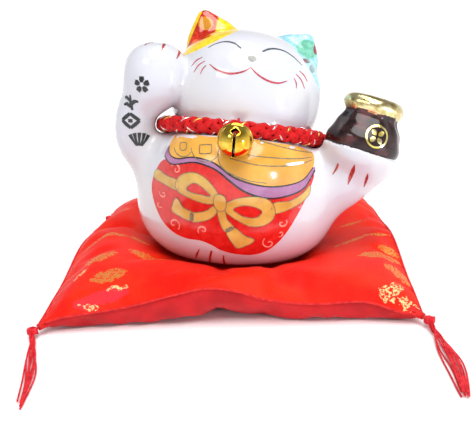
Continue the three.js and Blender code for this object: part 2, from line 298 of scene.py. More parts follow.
def egg(points, centre, radii, power=2.0, low_power=None):
    """Distance to an egg-like solid, squarer in outline as the power grows."""
    local = points - centre
    across = np.hypot(local[:, 0] / radii[0], local[:, 1] / radii[1])
    down = radii[3] if len(radii) > 3 else radii[2]
    upper = local[:, 2] >= 0
    level = np.abs(local[:, 2]) / np.where(upper, radii[2], down)
    p = np.where(upper, power, low_power or power)
    share = np.maximum((across**p + level**p) ** (1 / p), 1e-3)
    return np.linalg.norm(local, axis=1) * (1 - 1 / share)


def limb(points, path, radii, flat=1.0, count=14):
    """Distance to a tapering tube along a path, its depth in Y flattened."""
    squeeze = np.array([1, 1 / flat, 1])
    spots = spline(path, count)
    radius = np.interp(np.linspace(0, 1, count), np.linspace(0, 1, len(radii)), radii)
    best = np.full(len(points), 1e9)
    for a, b, ra, rb in zip(spots, spots[1:], radius, radius[1:]):
        span = (b - a) * squeeze
        local = (points - a) * squeeze
        t = np.clip(local @ span / (span @ span), 0, 1)
        gap = np.linalg.norm(local - t[:, None] * span, axis=1) - (ra + (rb - ra) * t)
        best = np.minimum(best, gap)
    return best


def surface_net(field, low, high, step):
    """Quads over the zero surface of a field that closes inside the box: (vertices, faces)."""
    axes = [np.arange(a, b + step, step) for a, b in zip(low, high)]
    grid = np.stack(np.meshgrid(*axes, indexing="ij"), -1)
    value = field(grid.reshape(-1, 3)).reshape(grid.shape[:3])
    total, count = np.zeros(grid.shape), np.zeros(value.shape)
    ways = np.eye(3, dtype=int)
    rings = []
    for axis in range(3):
        # Each grid edge that crosses the surface pulls on the four cells round it, and makes a quad of them.
        ahead = np.roll(value, -1, axis)
        crosses = (value < 0) != (ahead < 0)
        here, there = value[crosses], ahead[crosses]
        where = np.argwhere(crosses)
        spot = where + (here / (here - there))[:, None] * ways[axis]
        a, b = ways[(axis + 1) % 3], ways[(axis + 2) % 3]
        ring = where[:, None] - np.array([0 * a, a, a + b, b])
        cells = tuple(ring.reshape(-1, 3).T)
        np.add.at(total, cells, np.repeat(spot, 4, axis=0))
        np.add.at(count, cells, 1)
        ring[here >= 0] = ring[here >= 0][:, ::-1]
        rings.append(ring)
    used = count > 0
    index = np.cumsum(used).reshape(used.shape) - 1
    vertices = grid[0, 0, 0] + step * total[used] / count[used][:, None]
    return vertices, index[tuple(np.vstack(rings).reshape(-1, 3).T)].reshape(-1, 4)


def field_slope(field, points, h=0.05):
    """Gradient of a field at points."""
    return np.stack(
        [(field(points + h * e) - field(points - h * e)) / (2 * h) for e in np.eye(3)], 1
    )


def settle(field, vertices, rounds=2):
    """Vertices moved onto the zero surface of a field."""
    for _ in range(rounds):
        slope = field_slope(field, vertices)
        size = np.maximum((slope**2).sum(1), 0.2)
        vertices = vertices - (field(vertices) / size)[:, None] * slope
    return vertices


# ------------------------------------------------------------------ pieces

class Geometry:
    """Faces gathered for one piece, in millimetres, with a material and a shading normal each."""

    def __init__(self):
        self.vertices, self.faces, self.materials, self.normals = [], [], [], []
        self.count = 0

    def add(self, vertices, faces, material=0, normals=None):
        """normals, if given, are the shading normals of the vertices; a row of zeros is left to Blender."""
        vertices = np.asarray(vertices, float)
        self.vertices.append(vertices)
        self.faces.extend([tuple(int(i) + self.count for i in face) for face in faces])
        self.materials.extend([material] * len(faces))
        self.normals.append(np.zeros_like(vertices) if normals is None else normals)
        self.count += len(vertices)

    def make(self, name, body, slot, looks, replaces=()):
        """The mesh object, riding on its body."""
        mesh = bpy.data.meshes.new(name)
        vertices = np.vstack(self.vertices) * MM
        mesh.from_pydata(vertices.tolist(), [], self.faces)
        mesh.validate()
        for look in looks:
            mesh.materials.append(look.material)
        mesh.polygons.foreach_set("material_index", self.materials)
        mesh.polygons.foreach_set("use_smooth", [True] * len(mesh.polygons))
        normals = np.vstack(self.normals)
        if normals.any():
            mesh.normals_split_custom_set_from_vertices(normals.tolist())
        mesh.update()
        piece = bpy.data.objects.new(name, mesh)
        bpy.context.collection.objects.link(piece)
        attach(piece, body)
        if replaces:
            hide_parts(*replaces)
        return piece


def tube(path, outward, half_width, half_depth, sides=8, closed=False):
    """A swept oval along a path, as deep as half_depth along outward: (vertices, faces)."""
    path = np.asarray(path, float)
    count = len(path)
    if closed:
        tangent = unit(np.roll(path, -1, 0) - np.roll(path, 1, 0))
    else:
        tangent = unit(np.gradient(path, axis=0))
    side = unit(np.cross(tangent, outward))
    up = np.cross(side, tangent)
    angle = 2 * np.pi * np.arange(sides) / sides
    wide = np.broadcast_to(np.asarray(half_width, float), count)[:, None, None]
    deep = np.broadcast_to(np.asarray(half_depth, float), count)[:, None, None]
    rings = (
        path[:, None]
        + wide * np.cos(angle)[None, :, None] * side[:, None]
        + deep * np.sin(angle)[None, :, None] * up[:, None]
    )
    index = np.arange(count * sides).reshape(count, sides)
    after = np.roll(index, -1, 0) if closed else index[1:]
    before = index if closed else index[:-1]
    quads = np.stack([before, after, np.roll(after, -1, 1), np.roll(before, -1, 1)], -1).reshape(-1, 4)
    faces = [tuple(q) for q in quads]
    if not closed:
        faces += [tuple(index[0]), tuple(index[-1][::-1])]
    return rings.reshape(-1, 3), faces


def transported(path, start=(0, 0, 1)):
    """An outward direction carried along a path without twisting."""
    tangent = unit(np.gradient(np.asarray(path, float), axis=0))
    out = np.array(start, float)
    made = []
    for t in tangent:
        out = out - (out @ t) * t
        out = out / max(np.linalg.norm(out), 1e-9)
        made.append(out)
    return np.array(made)


class Surface:
    """A skin that paint is laid on: its mesh for finding a spot, and its field for the exact place."""

    def __init__(self, field, vertices, faces):
        self.field = field
        self.tree = BVHTree.FromPolygons(vertices.tolist(), faces.tolist())

    def seen(self, view, spots):
        """Where spots (x, z) of a frame land on the skin, looking along the frame's Y."""
        ahead = Vector(view.turn[:, 1])
        landed = []
        for x, z in spots:
            start = Vector(view.out((x, -150, z)))
            hit = self.tree.ray_cast(start, ahead)[0]
            landed.append(hit if hit else self.tree.find_nearest(Vector(view.out((x, 0, z))))[0])
        return settle(self.field, np.array(landed))

    def normals(self, points):
        return unit(field_slope(self.field, points))


# ------------------------------------------------------------------ paint

SUNK = 0.15     # how far a film of paint reaches into the glaze


def inside(points, loops):
    """Which points lie inside closed outlines, holes left out."""
    odd = np.zeros(len(points), bool)
    x, y = points[:, 0], points[:, 1]
    for loop in loops:
        for (ax, ay), (bx, by) in zip(loop, np.roll(loop, -1, 0)):
            crosses = (ay > y) != (by > y)
            if crosses.any():
                odd ^= crosses & (x < ax + (bx - ax) * (y - ay) / (by - ay + 1e-12))
    return odd


def filled(loops, spacing=1.5):
    """Triangles over closed outlines: (points, triangles)."""
    points, edges = [], []
    for loop in loops:
        first, count = len(points), len(loop)
        points.extend(Vector(p) for p in loop)
        edges.extend((first + i, first + (i + 1) % count) for i in range(count))
    border = np.vstack(loops)
    (x0, y0), (x1, y1) = border.min(0), border.max(0)
    grid = np.array([
        (x + (row % 2) * spacing / 2, y)
        for row, y in enumerate(np.arange(y0, y1, spacing * 0.87))
        for x in np.arange(x0, x1, spacing)
    ])
    grid = grid[inside(grid, loops)]
    if len(grid):
        away = np.linalg.norm(grid[:, None] - border[None], axis=-1).min(1)
        points.extend(Vector(p) for p in grid[away > 0.55 * spacing])
    made = delaunay_2d_cdt(points, edges, [], 0, 1e-4)
    spots = np.array([tuple(p) for p in made[0]])
    triangles = np.array([tuple(f) for f in made[2]])
    middle = spots[triangles].mean(1)
    return spots, triangles[inside(middle, loops)]


def facing(points, faces, normals):
    """Faces turned to point along the normals."""
    a, b, c = (points[faces[:, i]] for i in range(3))
    flip = (np.cross(b - a, c - a) * normals[faces[:, 0]]).sum(1) < 0
    faces = faces.copy()
    faces[flip] = faces[flip][:, ::-1]
    return faces


class Paint(Geometry):
    """Films of paint on a surface; outlines and strokes are drawn in the (x, z) of the view's frame."""

    def __init__(self, surface, view):
        super().__init__()
        self.surface, self.view = surface, view

    def film(self, points, faces, material, lift):
        """A thin closed film, its top shaded like the surface under it."""
        faces = [tuple(int(i) for i in f) for f in faces]
        edges = dict.fromkeys(pair for face in faces for pair in zip(face, face[1:] + face[:1]))
        border = [(a, b) for a, b in edges if (b, a) not in edges]
        count = len(points)
        normals = self.surface.normals(points)
        top = points + lift * normals
        low = points - SUNK * normals
        self.add(top, faces, material, normals)
        # The underside and the rim have their own copies of the points, so the top keeps its shading.
        under = [tuple(i + count for i in reversed(face)) for face in faces]
        walls = [(b, a, a + count, b + count) for a, b in border]
        self.add(np.vstack([top, low]), under + walls, material)

    def area(self, loops, material, lift):
        """A filled patch of colour inside closed outlines."""
        spots, triangles = filled(loops)
        points = self.surface.seen(self.view, spots)
        self.film(points, facing(points, triangles, self.surface.normals(points)), material, lift)

    def line(self, points, width, material, lift, spacing=0.7):
        """A brush stroke through points on the surface; width is one number or a few along it."""
        field = self.surface.field
        count = max(4, int(length_of(points) / spacing) + 2)
        middle = settle(field, spline(points, count))
        normals = self.surface.normals(middle)
        side = unit(np.cross(normals, np.gradient(middle, axis=0)))
        given = np.atleast_1d(width)
        half = np.interp(np.linspace(0, 1, count), np.linspace(0, 1, len(given)), given)[:, None] / 2
        every = np.vstack([settle(field, middle + s * half * side) for s in (-1, 0, 1)])
        index = np.arange(3 * count).reshape(3, count)
        quads = np.array([
            (index[r, i], index[r, i + 1], index[r + 1, i + 1], index[r + 1, i])
            for r in (0, 1)
            for i in range(count - 1)
        ])
        a, b, c = every[quads[0, :3]]
        if np.cross(b - a, c - a) @ normals[0] < 0:
            quads = quads[:, ::-1]
        self.film(every, quads, material, lift)

    def stroke(self, spots, width, material, lift):
        """A brush stroke along a line drawn in the view's frame."""
        spots = spline(spots, max(4, int(length_of(spots) / 1.5) + 2))
        self.line(self.surface.seen(self.view, spots), width, material, lift)


# ------------------------------------------------------------------ the glazed cat

def neck_line(turn):
    """The collar cord's centreline, in the collar's frame; turn 0 is at the throat."""
    a = 2 * np.pi * np.asarray(turn, float)
    return np.stack([CORD_X * np.sin(a), -CORD_Y * np.cos(a), 0 * a], -1)


def pouch_field(local):
    """Distance to the tied sack, in its own frame."""
    x, y, z = local[:, 0], local[:, 1] / 0.82, local[:, 2]
    turn = np.arctan2(y, x)
    profile = spline(
        [(17.2, -2), (18.2, 2.5), (17.6, 7), (15.6, 11.5), (13.3, 15.5), (12.7, 17.6),
         (13.9, 19.3), (14.7, 21.6), (13.4, 24.6), (9.5, 26.4), (2, 27)], 80)
    radius = np.interp(z, profile[:, 1], profile[:, 0])
    slope = np.interp(z, profile[:, 1], np.gradient(profile[:, 0], profile[:, 1]))
    pleats = np.clip((z - 5) / 12, 0, 1) * np.clip((21 - z) / 5, 0, 1)
    wave = np.sin(9 * turn + 1.4 * np.sin(2 * turn + 0.6) + 0.12 * z)
    lip = np.clip(1 - np.abs(z - 21.5) / 4, 0, 1) * np.sin(7 * turn + 0.5)
    belly = np.clip(z / 8, 0, 1) * np.clip((17 - z) / 6, 0, 1)
    sag = belly * np.sin(0.62 * z + 1.6 * np.sin(turn + 0.5))
    side = (np.hypot(x, y) - radius - 0.5 * pleats * wave - 0.35 * (lip + sag)) / np.hypot(1, slope)
    return smooth_max(smooth_max(side * 0.9, z - 26.8, 1.5), -z, 1.2)


def ear(points, side, height):
    """A wide, low triangle with a rounded tip, flattened, in the head's frame."""
    path = [(side * 11, 4, 29), (side * 20, 2, 40), (side * height / 2 - side, -1, height - 3)]
    return limb(points, path, (16, 14.5, 4.5), flat=0.5)


def collar_room(points):
    """Distance to what the collar, its whipping and the bell's thread take out of the neck."""
    local = COLLAR.into(CAT.out(points))
    x, y, z = local.T
    turn = np.arctan2(x / CORD_X, -y / CORD_Y) / (2 * np.pi)
    room = np.linalg.norm(local - neck_line(turn), axis=1) - CORD_RADIUS - 0.2
    thread = np.maximum(np.abs(x) - 1.4, np.hypot(y + CORD_Y, z) - 6.6)
    whipping = np.maximum(np.abs(x) - 7.6, np.hypot(y - CORD_Y, z) - 5.7)
    return smooth_min(room, np.minimum(thread, whipping), 1.0)


def bell_room(points):
    """Distance to the space that the bell sways through, just clear of the chest."""
    local = THROAT.into(CAT.out(points))
    hung_at, reach = 6.1, 9.1
    room = np.full(len(points), 50.0)
    for angle in np.radians([-17, -8.5, 0, 8.5, 17]):
        centre = (reach * math.sin(angle), -hung_at - reach * math.cos(angle), 0)
        room = np.minimum(room, np.linalg.norm(local - centre, axis=1))
    return room - BELL_RADIUS - 0.9


def head_field(points):
    in_head = HEAD.into(CAT.out(points)) - (-1.5, 0, 0)
    skull = egg(in_head, (0, 0, 18.5), (38, 35, 32, 31), 2.3)
    return smooth_min(skull, np.minimum(ear(in_head, -1, 55.5), ear(in_head, 1, 52.5)), 3)


def raised_arm_field(points):
    upper_arm = egg(points, (-30, -7, 48), (19, 17, 18))
    fore_arm = limb(
        points,
        [(-28, -7, 36), (-40, -9, 46), (-50, -12, 59), (-49.5, -15, 73), (-41, -18, 88)],
        (13, 11.5, 11, 10.5, 12), flat=0.95)
    paw = egg(points, (-40, -19, 91.5), (15.5, 13, 15.5), 2.4)
    return smooth_min(smooth_min(upper_arm, fore_arm, 5), paw, 5)


def carrying_arm_field(points):
    path = [(13, -6, 34), (33, -11, 37), (49, -16, 43), (63, -20, 52)]
    reach = limb(points, path, (25, 20.5, 16, 12), flat=0.8, count=40)
    palm = egg(POUCH.into(CAT.out(points)), (-0.5, 0, 0), (18.6, 16, 2.5, 13))
    return smooth_min(reach, palm, 6)


def cat_field(points):
    """Distance to the glazed cat's skin, in the cat's frame."""
    torso = egg(points, (0, 0, 33.5), (52.5, 46, 38.5), 2.2, 2.6)
    chest = egg(points, (0, -15, 46.5), (40, 38, 31))
    body = smooth_min(torso, chest, 5)

    body = smooth_min(smooth_min(body, raised_arm_field(points), 7), carrying_arm_field(points), 8)
    whole = smooth_min(body, head_field(points), 2.5)
    whole = smooth_max(whole, -collar_room(points), 2.5)
    whole = smooth_max(whole, -bell_room(points), 1.5)
    in_pouch = POUCH.into(CAT.out(points))
    near = np.abs(in_pouch[:, 2] - 12) < 20
    pouch = np.full(len(points), 50.0)
    pouch[near] = pouch_field(in_pouch[near])
    whole = smooth_max(whole, 0.3 - pouch, 1.5)

    # The foot is flat, with a shallow recess and the casting's vent hole in it.
    across = np.hypot(points[:, 0], points[:, 1])
    recess = np.maximum(across - 27, points[:, 2] - 1.2)
    vent = np.maximum(across - 5, points[:, 2] - 9)
    whole = smooth_max(whole, -points[:, 2], 2.5)
    return smooth_max(whole, -np.minimum(recess, vent), 1.2)


def cat_surface():
    """The cat's skin as a mesh and as a surface for paint, in the object's frame."""
    vertices, faces = surface_net(cat_field, (-72, -60, -4), (92, 56, 128), SKIN_STEP)
    vertices = CAT.out(settle(cat_field, vertices))
    return vertices, faces, Surface(lambda points: cat_field(CAT.into(points)), vertices, faces)


def ear_colours(look, glaze):
    """Enamel on the ears, in the head's frame: yellow with a red inside, and pale blue with green."""
    at = look.add("Attribute", attribute_name="head_place").outputs["Vector"]
    split = look.add("SeparateXYZ", {0: at})
    x, z = split.outputs["X"], split.outputs["Z"]
    in_front = look.math("LESS_THAN", split.outputs["Y"], 1.5)

    def above(curve, bend):
        """Share of the paint above the line z = a + b x + c x^2 measured from x = bend."""
        a, b, c = curve
        from_bend = look.math("SUBTRACT", x, bend)
        line = look.math("MULTIPLY_ADD", look.math("MULTIPLY_ADD", from_bend, c, b), from_bend, a)
        return look.step(look.math("SUBTRACT", z, line), -0.15, 0.15)

    def spot(place, radii):
        """Share of the paint inside an oval on the front of the head."""
        across = look.math("DIVIDE", look.math("SUBTRACT", x, place[0]), radii[0])
        along = look.math("DIVIDE", look.math("SUBTRACT", z, place[1]), radii[1])
        wobble = look.math("MULTIPLY_ADD", look.noise(0.35, 1.0, place=at), 0.16, -0.08)
        size = look.math("ADD", look.math("SQRT", look.math(
            "ADD", look.math("POWER", across, 2.0), look.math("POWER", along, 2.0))), wobble)
        return look.math("MULTIPLY", look.step(size, 1.06, 0.94), in_front)

    mottle = look.noise(0.5, 3.0, place=at)
    yellow = look.shade(mottle, (0.35, 0.7), (232, 192, 0), (250, 220, 36))
    red = look.shade(mottle, (0.42, 0.62), (178, 32, 12), (220, 58, 26))
    off_edge = look.step(look.math("MULTIPLY_ADD", z, -0.25, x), -44.4, -44.0)
    off_band = look.math("MULTIPLY", above((42.4, 0.66, 0.012), -22.8), off_edge)
    left = look.mix(look.math("MULTIPLY", spot((-36, 50), (14.3, 19)), off_band), yellow, red)
    for place, radii, colour in (
            ((-27.4, 50.2), (3.9, 3.4), (202, 136, 40)), ((-30.2, 39.8), (2.2, 1.7), (252, 120, 70))):
        left = look.mix(spot(place, radii), left, srgb(*colour))

    sky = look.shade(mottle, (0.4, 0.65), (140, 200, 222), (172, 220, 234))
    green = look.shade(mottle, (0.4, 0.6), (104, 180, 152), (132, 200, 176))
    right = look.mix(spot((24.8, 46.2), (5.6, 4.8)), sky, green)
    for place, radii, colour in (
            ((29.6, 48), (1.5, 3.2), (128, 50, 60)), ((25.3, 39.4), (1.9, 1.2), (110, 60, 60)),
            ((29, 36.5), (1.6, 2.4), (110, 150, 150))):
        right = look.mix(spot(place, radii), right, srgb(*colour))

    on_head = look.step(look.add("Attribute", attribute_name="on_head").outputs["Fac"], -0.1, 0.1)
    right_half = look.math("GREATER_THAN", x, 2.0)
    on_right = look.math("MULTIPLY", above((41.9, -0.9, -0.018), 20.85), right_half)
    painted = look.mix(on_right, look.mix(above((37.2, 0.66, 0.012), -22.8), glaze, left), right)
    return look.mix(on_head, glaze, painted)


def white_glaze():
    look = Look("white_glaze", (0.80, 0.79, 0.82), 0.1, Coat_Weight=0.5, Coat_Roughness=0.03)
    pooled = look.step(look.noise(0.03, 2.0), 0.35, 0.65)
    glaze = look.mix(pooled, (0.66, 0.66, 0.675), (0.61, 0.62, 0.685))
    look.base(ear_colours(look, glaze))
    look.rough(look.noise(0.25, 3.0), 0.07, 0.15)
    look.bump(look.noise(0.12, 2.0), 0.12, 0.35)
    return look


def enamel(name, low, high, grain=0.6, contrast=(0.38, 0.62)):
    """Glossy fired paint that varies between two colours."""
    roughness = (0.12, 0.26)
    look = Look(name, srgb(*low), roughness[0], Coat_Weight=0.4, Coat_Roughness=0.05)
    speckle = look.noise(grain, 4.0)
    look.base(look.shade(speckle, contrast, low, high))
    look.rough(speckle, *roughness)
    look.bump(look.noise(0.9, 2.0), 0.02, 0.4)
    return look


def add_cat(vertices, faces):
    skin = Geometry()
    skin.add(vertices, faces)
    piece = skin.make("cat_skin", "cat", "white_glaze", [white_glaze()], ["ceramic_cat"])
    # The ear paint reads each point's place in the head's frame, and how far it is inside the head.
    places = piece.data.attributes.new("head_place", "FLOAT_VECTOR", "POINT")
    places.data.foreach_set("vector", HEAD.into(vertices).ravel())
    local = CAT.into(vertices)
    nearness = np.minimum(raised_arm_field(local), carrying_arm_field(local)) - head_field(local)
    piece.data.attributes.new("on_head", "FLOAT", "POINT").data.foreach_set("value", nearness)


# ------------------------------------------------------------------ paint on the cat

def add_face(surface):
    """Closed smiling eyes, a small nose, a wide mouth and three whiskers on each cheek."""
    paint = Paint(surface, HEAD)
    slate, nose, rose = range(3)
    brushed = [
        (slate, (0.3, 0.55, 0.8, 0.9, 0.75),
         [(-21.8, 36.2), (-18.4, 38.7), (-13.9, 40.3), (-9.7, 40), (-6.1, 38)]),
        (slate, (0.9, 0.95, 0.8, 0.6, 0.3),
         [(4, 38.2), (6.2, 39.9), (9.4, 41), (13.8, 41), (18.6, 39.2), (23.4, 36.2)]),
        (rose, (0.35, 0.8, 0.95, 0.8, 0.45),
         [(-19.2, 28.3), (-16.2, 26.5), (-12.9, 25.6), (-9.3, 25.3), (-5.9, 26), (-2.6, 27.5), (0.2, 29.8)]),
        (rose, (0.45, 0.8, 0.95, 0.8, 0.35),
         [(0.2, 29.8), (2.7, 27.8), (6, 26.1), (10.3, 25), (14.2, 25.2), (17.8, 27)]),
    ]
    whiskers = [
        [(-23.6, 31.2), (-26.2, 29.4), (-28.2, 26.4)],
        [(-21.8, 29.6), (-24.6, 27.2), (-26.4, 23.6)],
        [(-20.8, 27.6), (-22.2, 25.6), (-22.8, 23.2)],
        [(22.6, 33), (25.2, 31.6), (27.4, 29)],
        [(21.2, 31.2), (24.2, 29), (26.6, 25.4)],
        [(20.6, 29), (22, 27.2), (22.6, 24.6)],
    ]
    brushed += [(rose, (0.3, 0.7, 0.3), whisker) for whisker in whiskers]
    for material, width, spots in brushed:
        paint.stroke(spots, width, material, 0.12)
    tip = outline([(-2.3, 34.4), (-0.4, 35.3), (1.7, 34.7), (2, 33.5), (0.4, 32.4), (-1.5, 33)], 0.5)
    paint.area([tip], nose, 0.12)
    looks = [
        enamel("slate_line", (58, 62, 70), (84, 90, 98)),
        enamel("nose_grey", (112, 114, 104), (138, 140, 128)),
        enamel("rose_line", (160, 46, 56), (198, 84, 92)),
    ]
    paint.make("painted_face", "cat", "white_glaze", looks)


def add_claws(surface):
    """Three short claw strokes on each paw and on the foot, wider where the brush was pressed."""
    paint = Paint(surface, CAT)
    strokes = [
        ((0.3, 1, 0.9), [(-44.6, -25, 105.2), (-43.6, -22.6, 106.4), (-41.6, -20.4, 107)]),
        ((1.5, 1.2, 0.3), [(-35.6, -21.6, 106.6), (-35.7, -24.8, 105.2), (-36, -28.2, 103)]),
        ((1.4, 1.2, 0.3), [(-28.5, -20, 103.6), (-28.6, -23, 102), (-29.2, -26.4, 99.6)]),
        ((1, 1.1, 0.3), [(49.6, -29.8, 53.6), (48.6, -29.2, 50.8), (47.2, -28, 47.6)]),
        ((0.5, 2, 1.8, 0.4),
         [(56.8, -33.4, 54), (56.4, -32.4, 51), (55.6, -30.4, 47.2), (54.8, -28.6, 43.4)]),
        ((0.4, 1.4, 1.1, 0.3),
         [(63.4, -31, 50), (63.4, -30, 47.6), (63, -28.4, 45), (62.6, -27, 42.4)]),
    ]
    for width, spots in strokes:
        paint.line(CAT.out(spots), width, 0, 0.12)
    for top, bottom, width in [
        ((-15, 10.6), (-17.6, 3.8), (0.4, 1.1, 0.4)),
        ((-9, 10.4), (-10.5, 1.8), (1, 1.2, 0.5)),
        ((-3.2, 8.2), (-3, 1.4), (0.5, 1.1, 1)),
    ]:
        middle = tuple(np.mean([top, bottom], axis=0) + (-0.2, 0))
        paint.stroke([top, middle, bottom], width, 0, 0.12)
    look = enamel("claw_red", (140, 44, 40), (186, 66, 60))
    paint.make("painted_claws", "cat", "white_glaze", [look])


def arc(centre, radii, start, end, count=12):
    """Points along part of an oval, angles in degrees."""
    a = np.radians(np.linspace(start, end, count))
    return [(centre[0] + radii[0] * math.cos(t), centre[1] + radii[1] * math.sin(t)) for t in a]


def curl(centre, size, start, turns, hand=1):
    """A spiral that opens from its centre, ending in a short tail."""
    t = np.linspace(0.12, 1, 16)
    a = np.radians(start) + hand * 2 * np.pi * turns * t
    return [(centre[0] + size * k * math.cos(b), centre[1] + size * k * math.sin(b)) for k, b in zip(t, a)]


def add_belly(surface):
    """The fortune bag on the belly: red cloth tied with a gold ribbon, and coins inside its purple rim."""
    paint = Paint(surface, CAT)
    red, gold, purple, black, ribbon, grey, pink, white = range(8)
    rim_top = [(-30.9, 59.2), (-30.4, 56.4), (-28.6, 54.9), (-24.9, 54.5), (-17.4, 56), (-9.3, 54.8),
               (-4.3, 52.2), (0.7, 48.8), (8.4, 46), (17.1, 44.3), (25.8, 44.5), (32.7, 46.2), (37.5, 51)]
    rim_low = [(-32.9, 54.6), (-30.4, 52.3), (-27, 51.7), (-17.3, 53.8), (-9.2, 52.3), (-4.5, 49.9),
               (-0.2, 46.6), (6.6, 42), (15.3, 39), (23.1, 38.8), (33, 41.8), (38.5, 49.8)]
    bag = [(-33.4, 52.6), (-37.9, 46.5), (-40, 38.9), (-38.3, 30.9), (-34.1, 23.2), (-28.4, 18.2),
           (-21.8, 15.9), (-14.3, 15.6), (-9.2, 14), (-4.2, 11.2), (3, 9.4), (11.2, 9.2), (18.2, 11.9),
           (24, 17.5), (28.8, 24.9), (33.4, 33.9), (36.6, 41.8), (38.2, 48)]
    inner = [(33, 43.5), (25, 41.4), (16, 41.4), (8, 44), (0, 48.3), (-9, 53.4), (-17, 55),
             (-26, 53.3)]
    coins = [(37.6, 56.9), (34.2, 58.9), (30.6, 60.7), (26, 62), (19, 63.2), (12, 64.4), (0, 65),
             (-12, 65.2), (-26.4, 65)]
    paint.area([outline(bag + inner)], red, 0.1)
    paint.area([outline(rim_top + coins)], gold, 0.16)
    paint.area([outline(rim_low + rim_top[::-1])], purple, 0.2)
    for edge, width in ((rim_top, (0.5, 0.8, 0.5)), (rim_low, (0.5, 0.9, 0.9))):
        paint.stroke(edge, width, black, 0.24)

    # Ribbon: two bands round the bag, two loops, the knot and two tails with tassel ends.
    patches = [
        [[(-36.6, 47.6), (-31, 45.8), (-25, 44.6), (-25.4, 39.9), (-32.3, 41.4), (-38.6, 43.4)]],
        [[(19.6, 36.2), (27, 36.7), (32.5, 39.4), (36.4, 43), (35.9, 38.4), (30.2, 33.8), (20.2, 30.8)]],
        [[(-26.3, 42.2), (-23.6, 47.2), (-17, 49.4), (-11, 47), (-6.2, 41.6), (-5.4, 37.6), (-8, 35.4),
          (-13, 35.4), (-19, 37), (-24.4, 39)],
         [(-20.6, 41.6), (-17, 44.6), (-12.6, 42.8), (-9, 39.2), (-13.5, 39.4), (-18.5, 40)]],
        [[(-3.4, 35), (3, 38.7), (11.5, 39.7), (17.6, 37.7), (20.4, 32.6), (19.4, 27.8), (15, 24.8),
          (9, 24.6), (3, 27.7), (-2.6, 32)],
         [(1.4, 33.4), (5, 35.2), (10, 34.9), (14.4, 32.2), (12, 29.1), (7, 29.3), (3.4, 31.2)]],
        [[(-4.8, 34.6), (-7.4, 34.6), (-11.6, 31.4), (-16.6, 29.9), (-18.4, 29.6), (-18.6, 25.4),
          (-15.4, 25.2), (-9.6, 27.4), (-5.2, 32.2)]],
        [[(-6.2, 33.6), (-2.6, 33.2), (-1.4, 28), (1.6, 23.8), (-2.4, 21.6), (-4.9, 26.4)]],
        [[(-18.4, 29.9), (-22.4, 31.6), (-25.9, 36), (-28.5, 29.4), (-24.5, 27), (-18.8, 25.4)]],
        [[(-1.9, 21.6), (2, 14.4), (5, 13.3), (11.4, 17.4), (6.5, 20), (2.2, 23.6)]],
        [[(-7.3, 39.2), (-4.8, 40.4), (-2.2, 38.9), (-2, 34), (-4.4, 31.8), (-7.2, 34.2)]],
    ]
    for order, loops in enumerate(patches):
        edges = [outline(points, 0.8) for points in loops]
        lift = 0.16 + 0.03 * order
        paint.area(edges, ribbon, lift)
        for edge in edges:
            paint.line(surface.seen(CAT, np.vstack([edge, edge[:1]])), 0.35, grey, lift + 0.05)
    for a, b in (((-18.2, 29.4), (-18.4, 25.6)), ((-2, 21.9), (1.2, 23.6))):
        paint.stroke([a, tuple(np.mean([a, b], 0)), b], 2, grey, 0.5)

    # Two coins with square holes, a gold ingot and its crescent top, in thin lines.
    lines = [
        arc((-12.2, 61.8), (7.2, 7.4), 195, 330), arc((-23.2, 61.4), (5.2, 5.8), 205, 325),
        [(-15, 61.4), (-15, 59.6), (-14.8, 57.8)], [(-14.8, 57.8), (-12, 58), (-9.4, 58.4)],
        [(-9.4, 58.4), (-9.3, 60.2), (-9.5, 62)], [(-9.5, 62), (-12.2, 61.8), (-15, 61.4)],
        [(-24.8, 61.4), (-24.6, 58.6), (-21.8, 58.8), (-21.8, 61.6), (-24.8, 61.4)],
        [(-5.2, 63.9), (-6.2, 57.1), (-2.8, 51.5), (7.2, 47.4), (16, 46)],
        [(-0.7, 56.6), (12.8, 53.9), (27.9, 53.3), (37, 54.4)],
        [(12, 64.4), (21.4, 61.7), (29.3, 59.5), (36.6, 57.5)],
        [(-2.1, 60.2), (8.1, 58.2), (20.1, 56.9), (29.4, 56), (36.8, 55.6)],
    ]
    for line in lines:
        paint.stroke(line, (0.35, 0.5, 0.35), grey, 0.26)
    # A painted highlight: a thin white sliver on the ingot, standing for a glint of light on the glaze.
    gleam = outline([(24.6, 54.2), (28.4, 54.6), (32.6, 54.4), (32.4, 53.5), (28.6, 53.2), (25, 53.4)], 0.5)
    paint.area([gleam], white, 0.3)
    curls = [
        ((-26, 49.6), 2.7, 60, 1.3), ((-33.2, 36.6), 2.2, 200, 1.1, -1), ((-35.3, 31), 2, 30, 0.8),
        ((-27.4, 22.4), 3.2, 20, 1.2, -1), ((-13, 21.2), 2.6, 150, 1.2), ((24, 25.8), 2.4, 0, 1.1),
        ((23.2, 20.6), 2, 180, 0.8, -1), ((18.2, 15.8), 3.2, 200, 1.2, -1), ((31.6, 33.4), 1.3, 90, 0.9),
    ]
    for facts in curls:
        paint.stroke(curl(*facts), (0.5, 0.8, 0.45), pink, 0.2)
    looks = [
        enamel("bag_red", (198, 20, 20), (222, 42, 34), 0.3, contrast=(0.2, 0.8)),
        enamel("coin_gold", (206, 146, 52), (230, 172, 76), 0.06, contrast=(0.3, 0.7)),
        enamel("rim_purple", (150, 96, 142), (176, 124, 166), 0.12, contrast=(0.2, 0.8)),
        enamel("rim_black", (34, 26, 32), (58, 46, 52)),
        enamel("ribbon_gold", (196, 148, 60), (222, 184, 96), 0.14, contrast=(0.2, 0.8)),
        enamel("outline_grey", (104, 98, 78), (136, 128, 104)),
        enamel("curl_pink", (232, 120, 106), (244, 156, 140)),
        enamel("gleam_white", (236, 236, 236), (250, 250, 250)),
    ]
    paint.make("painted_belly", "cat", "white_glaze", looks)


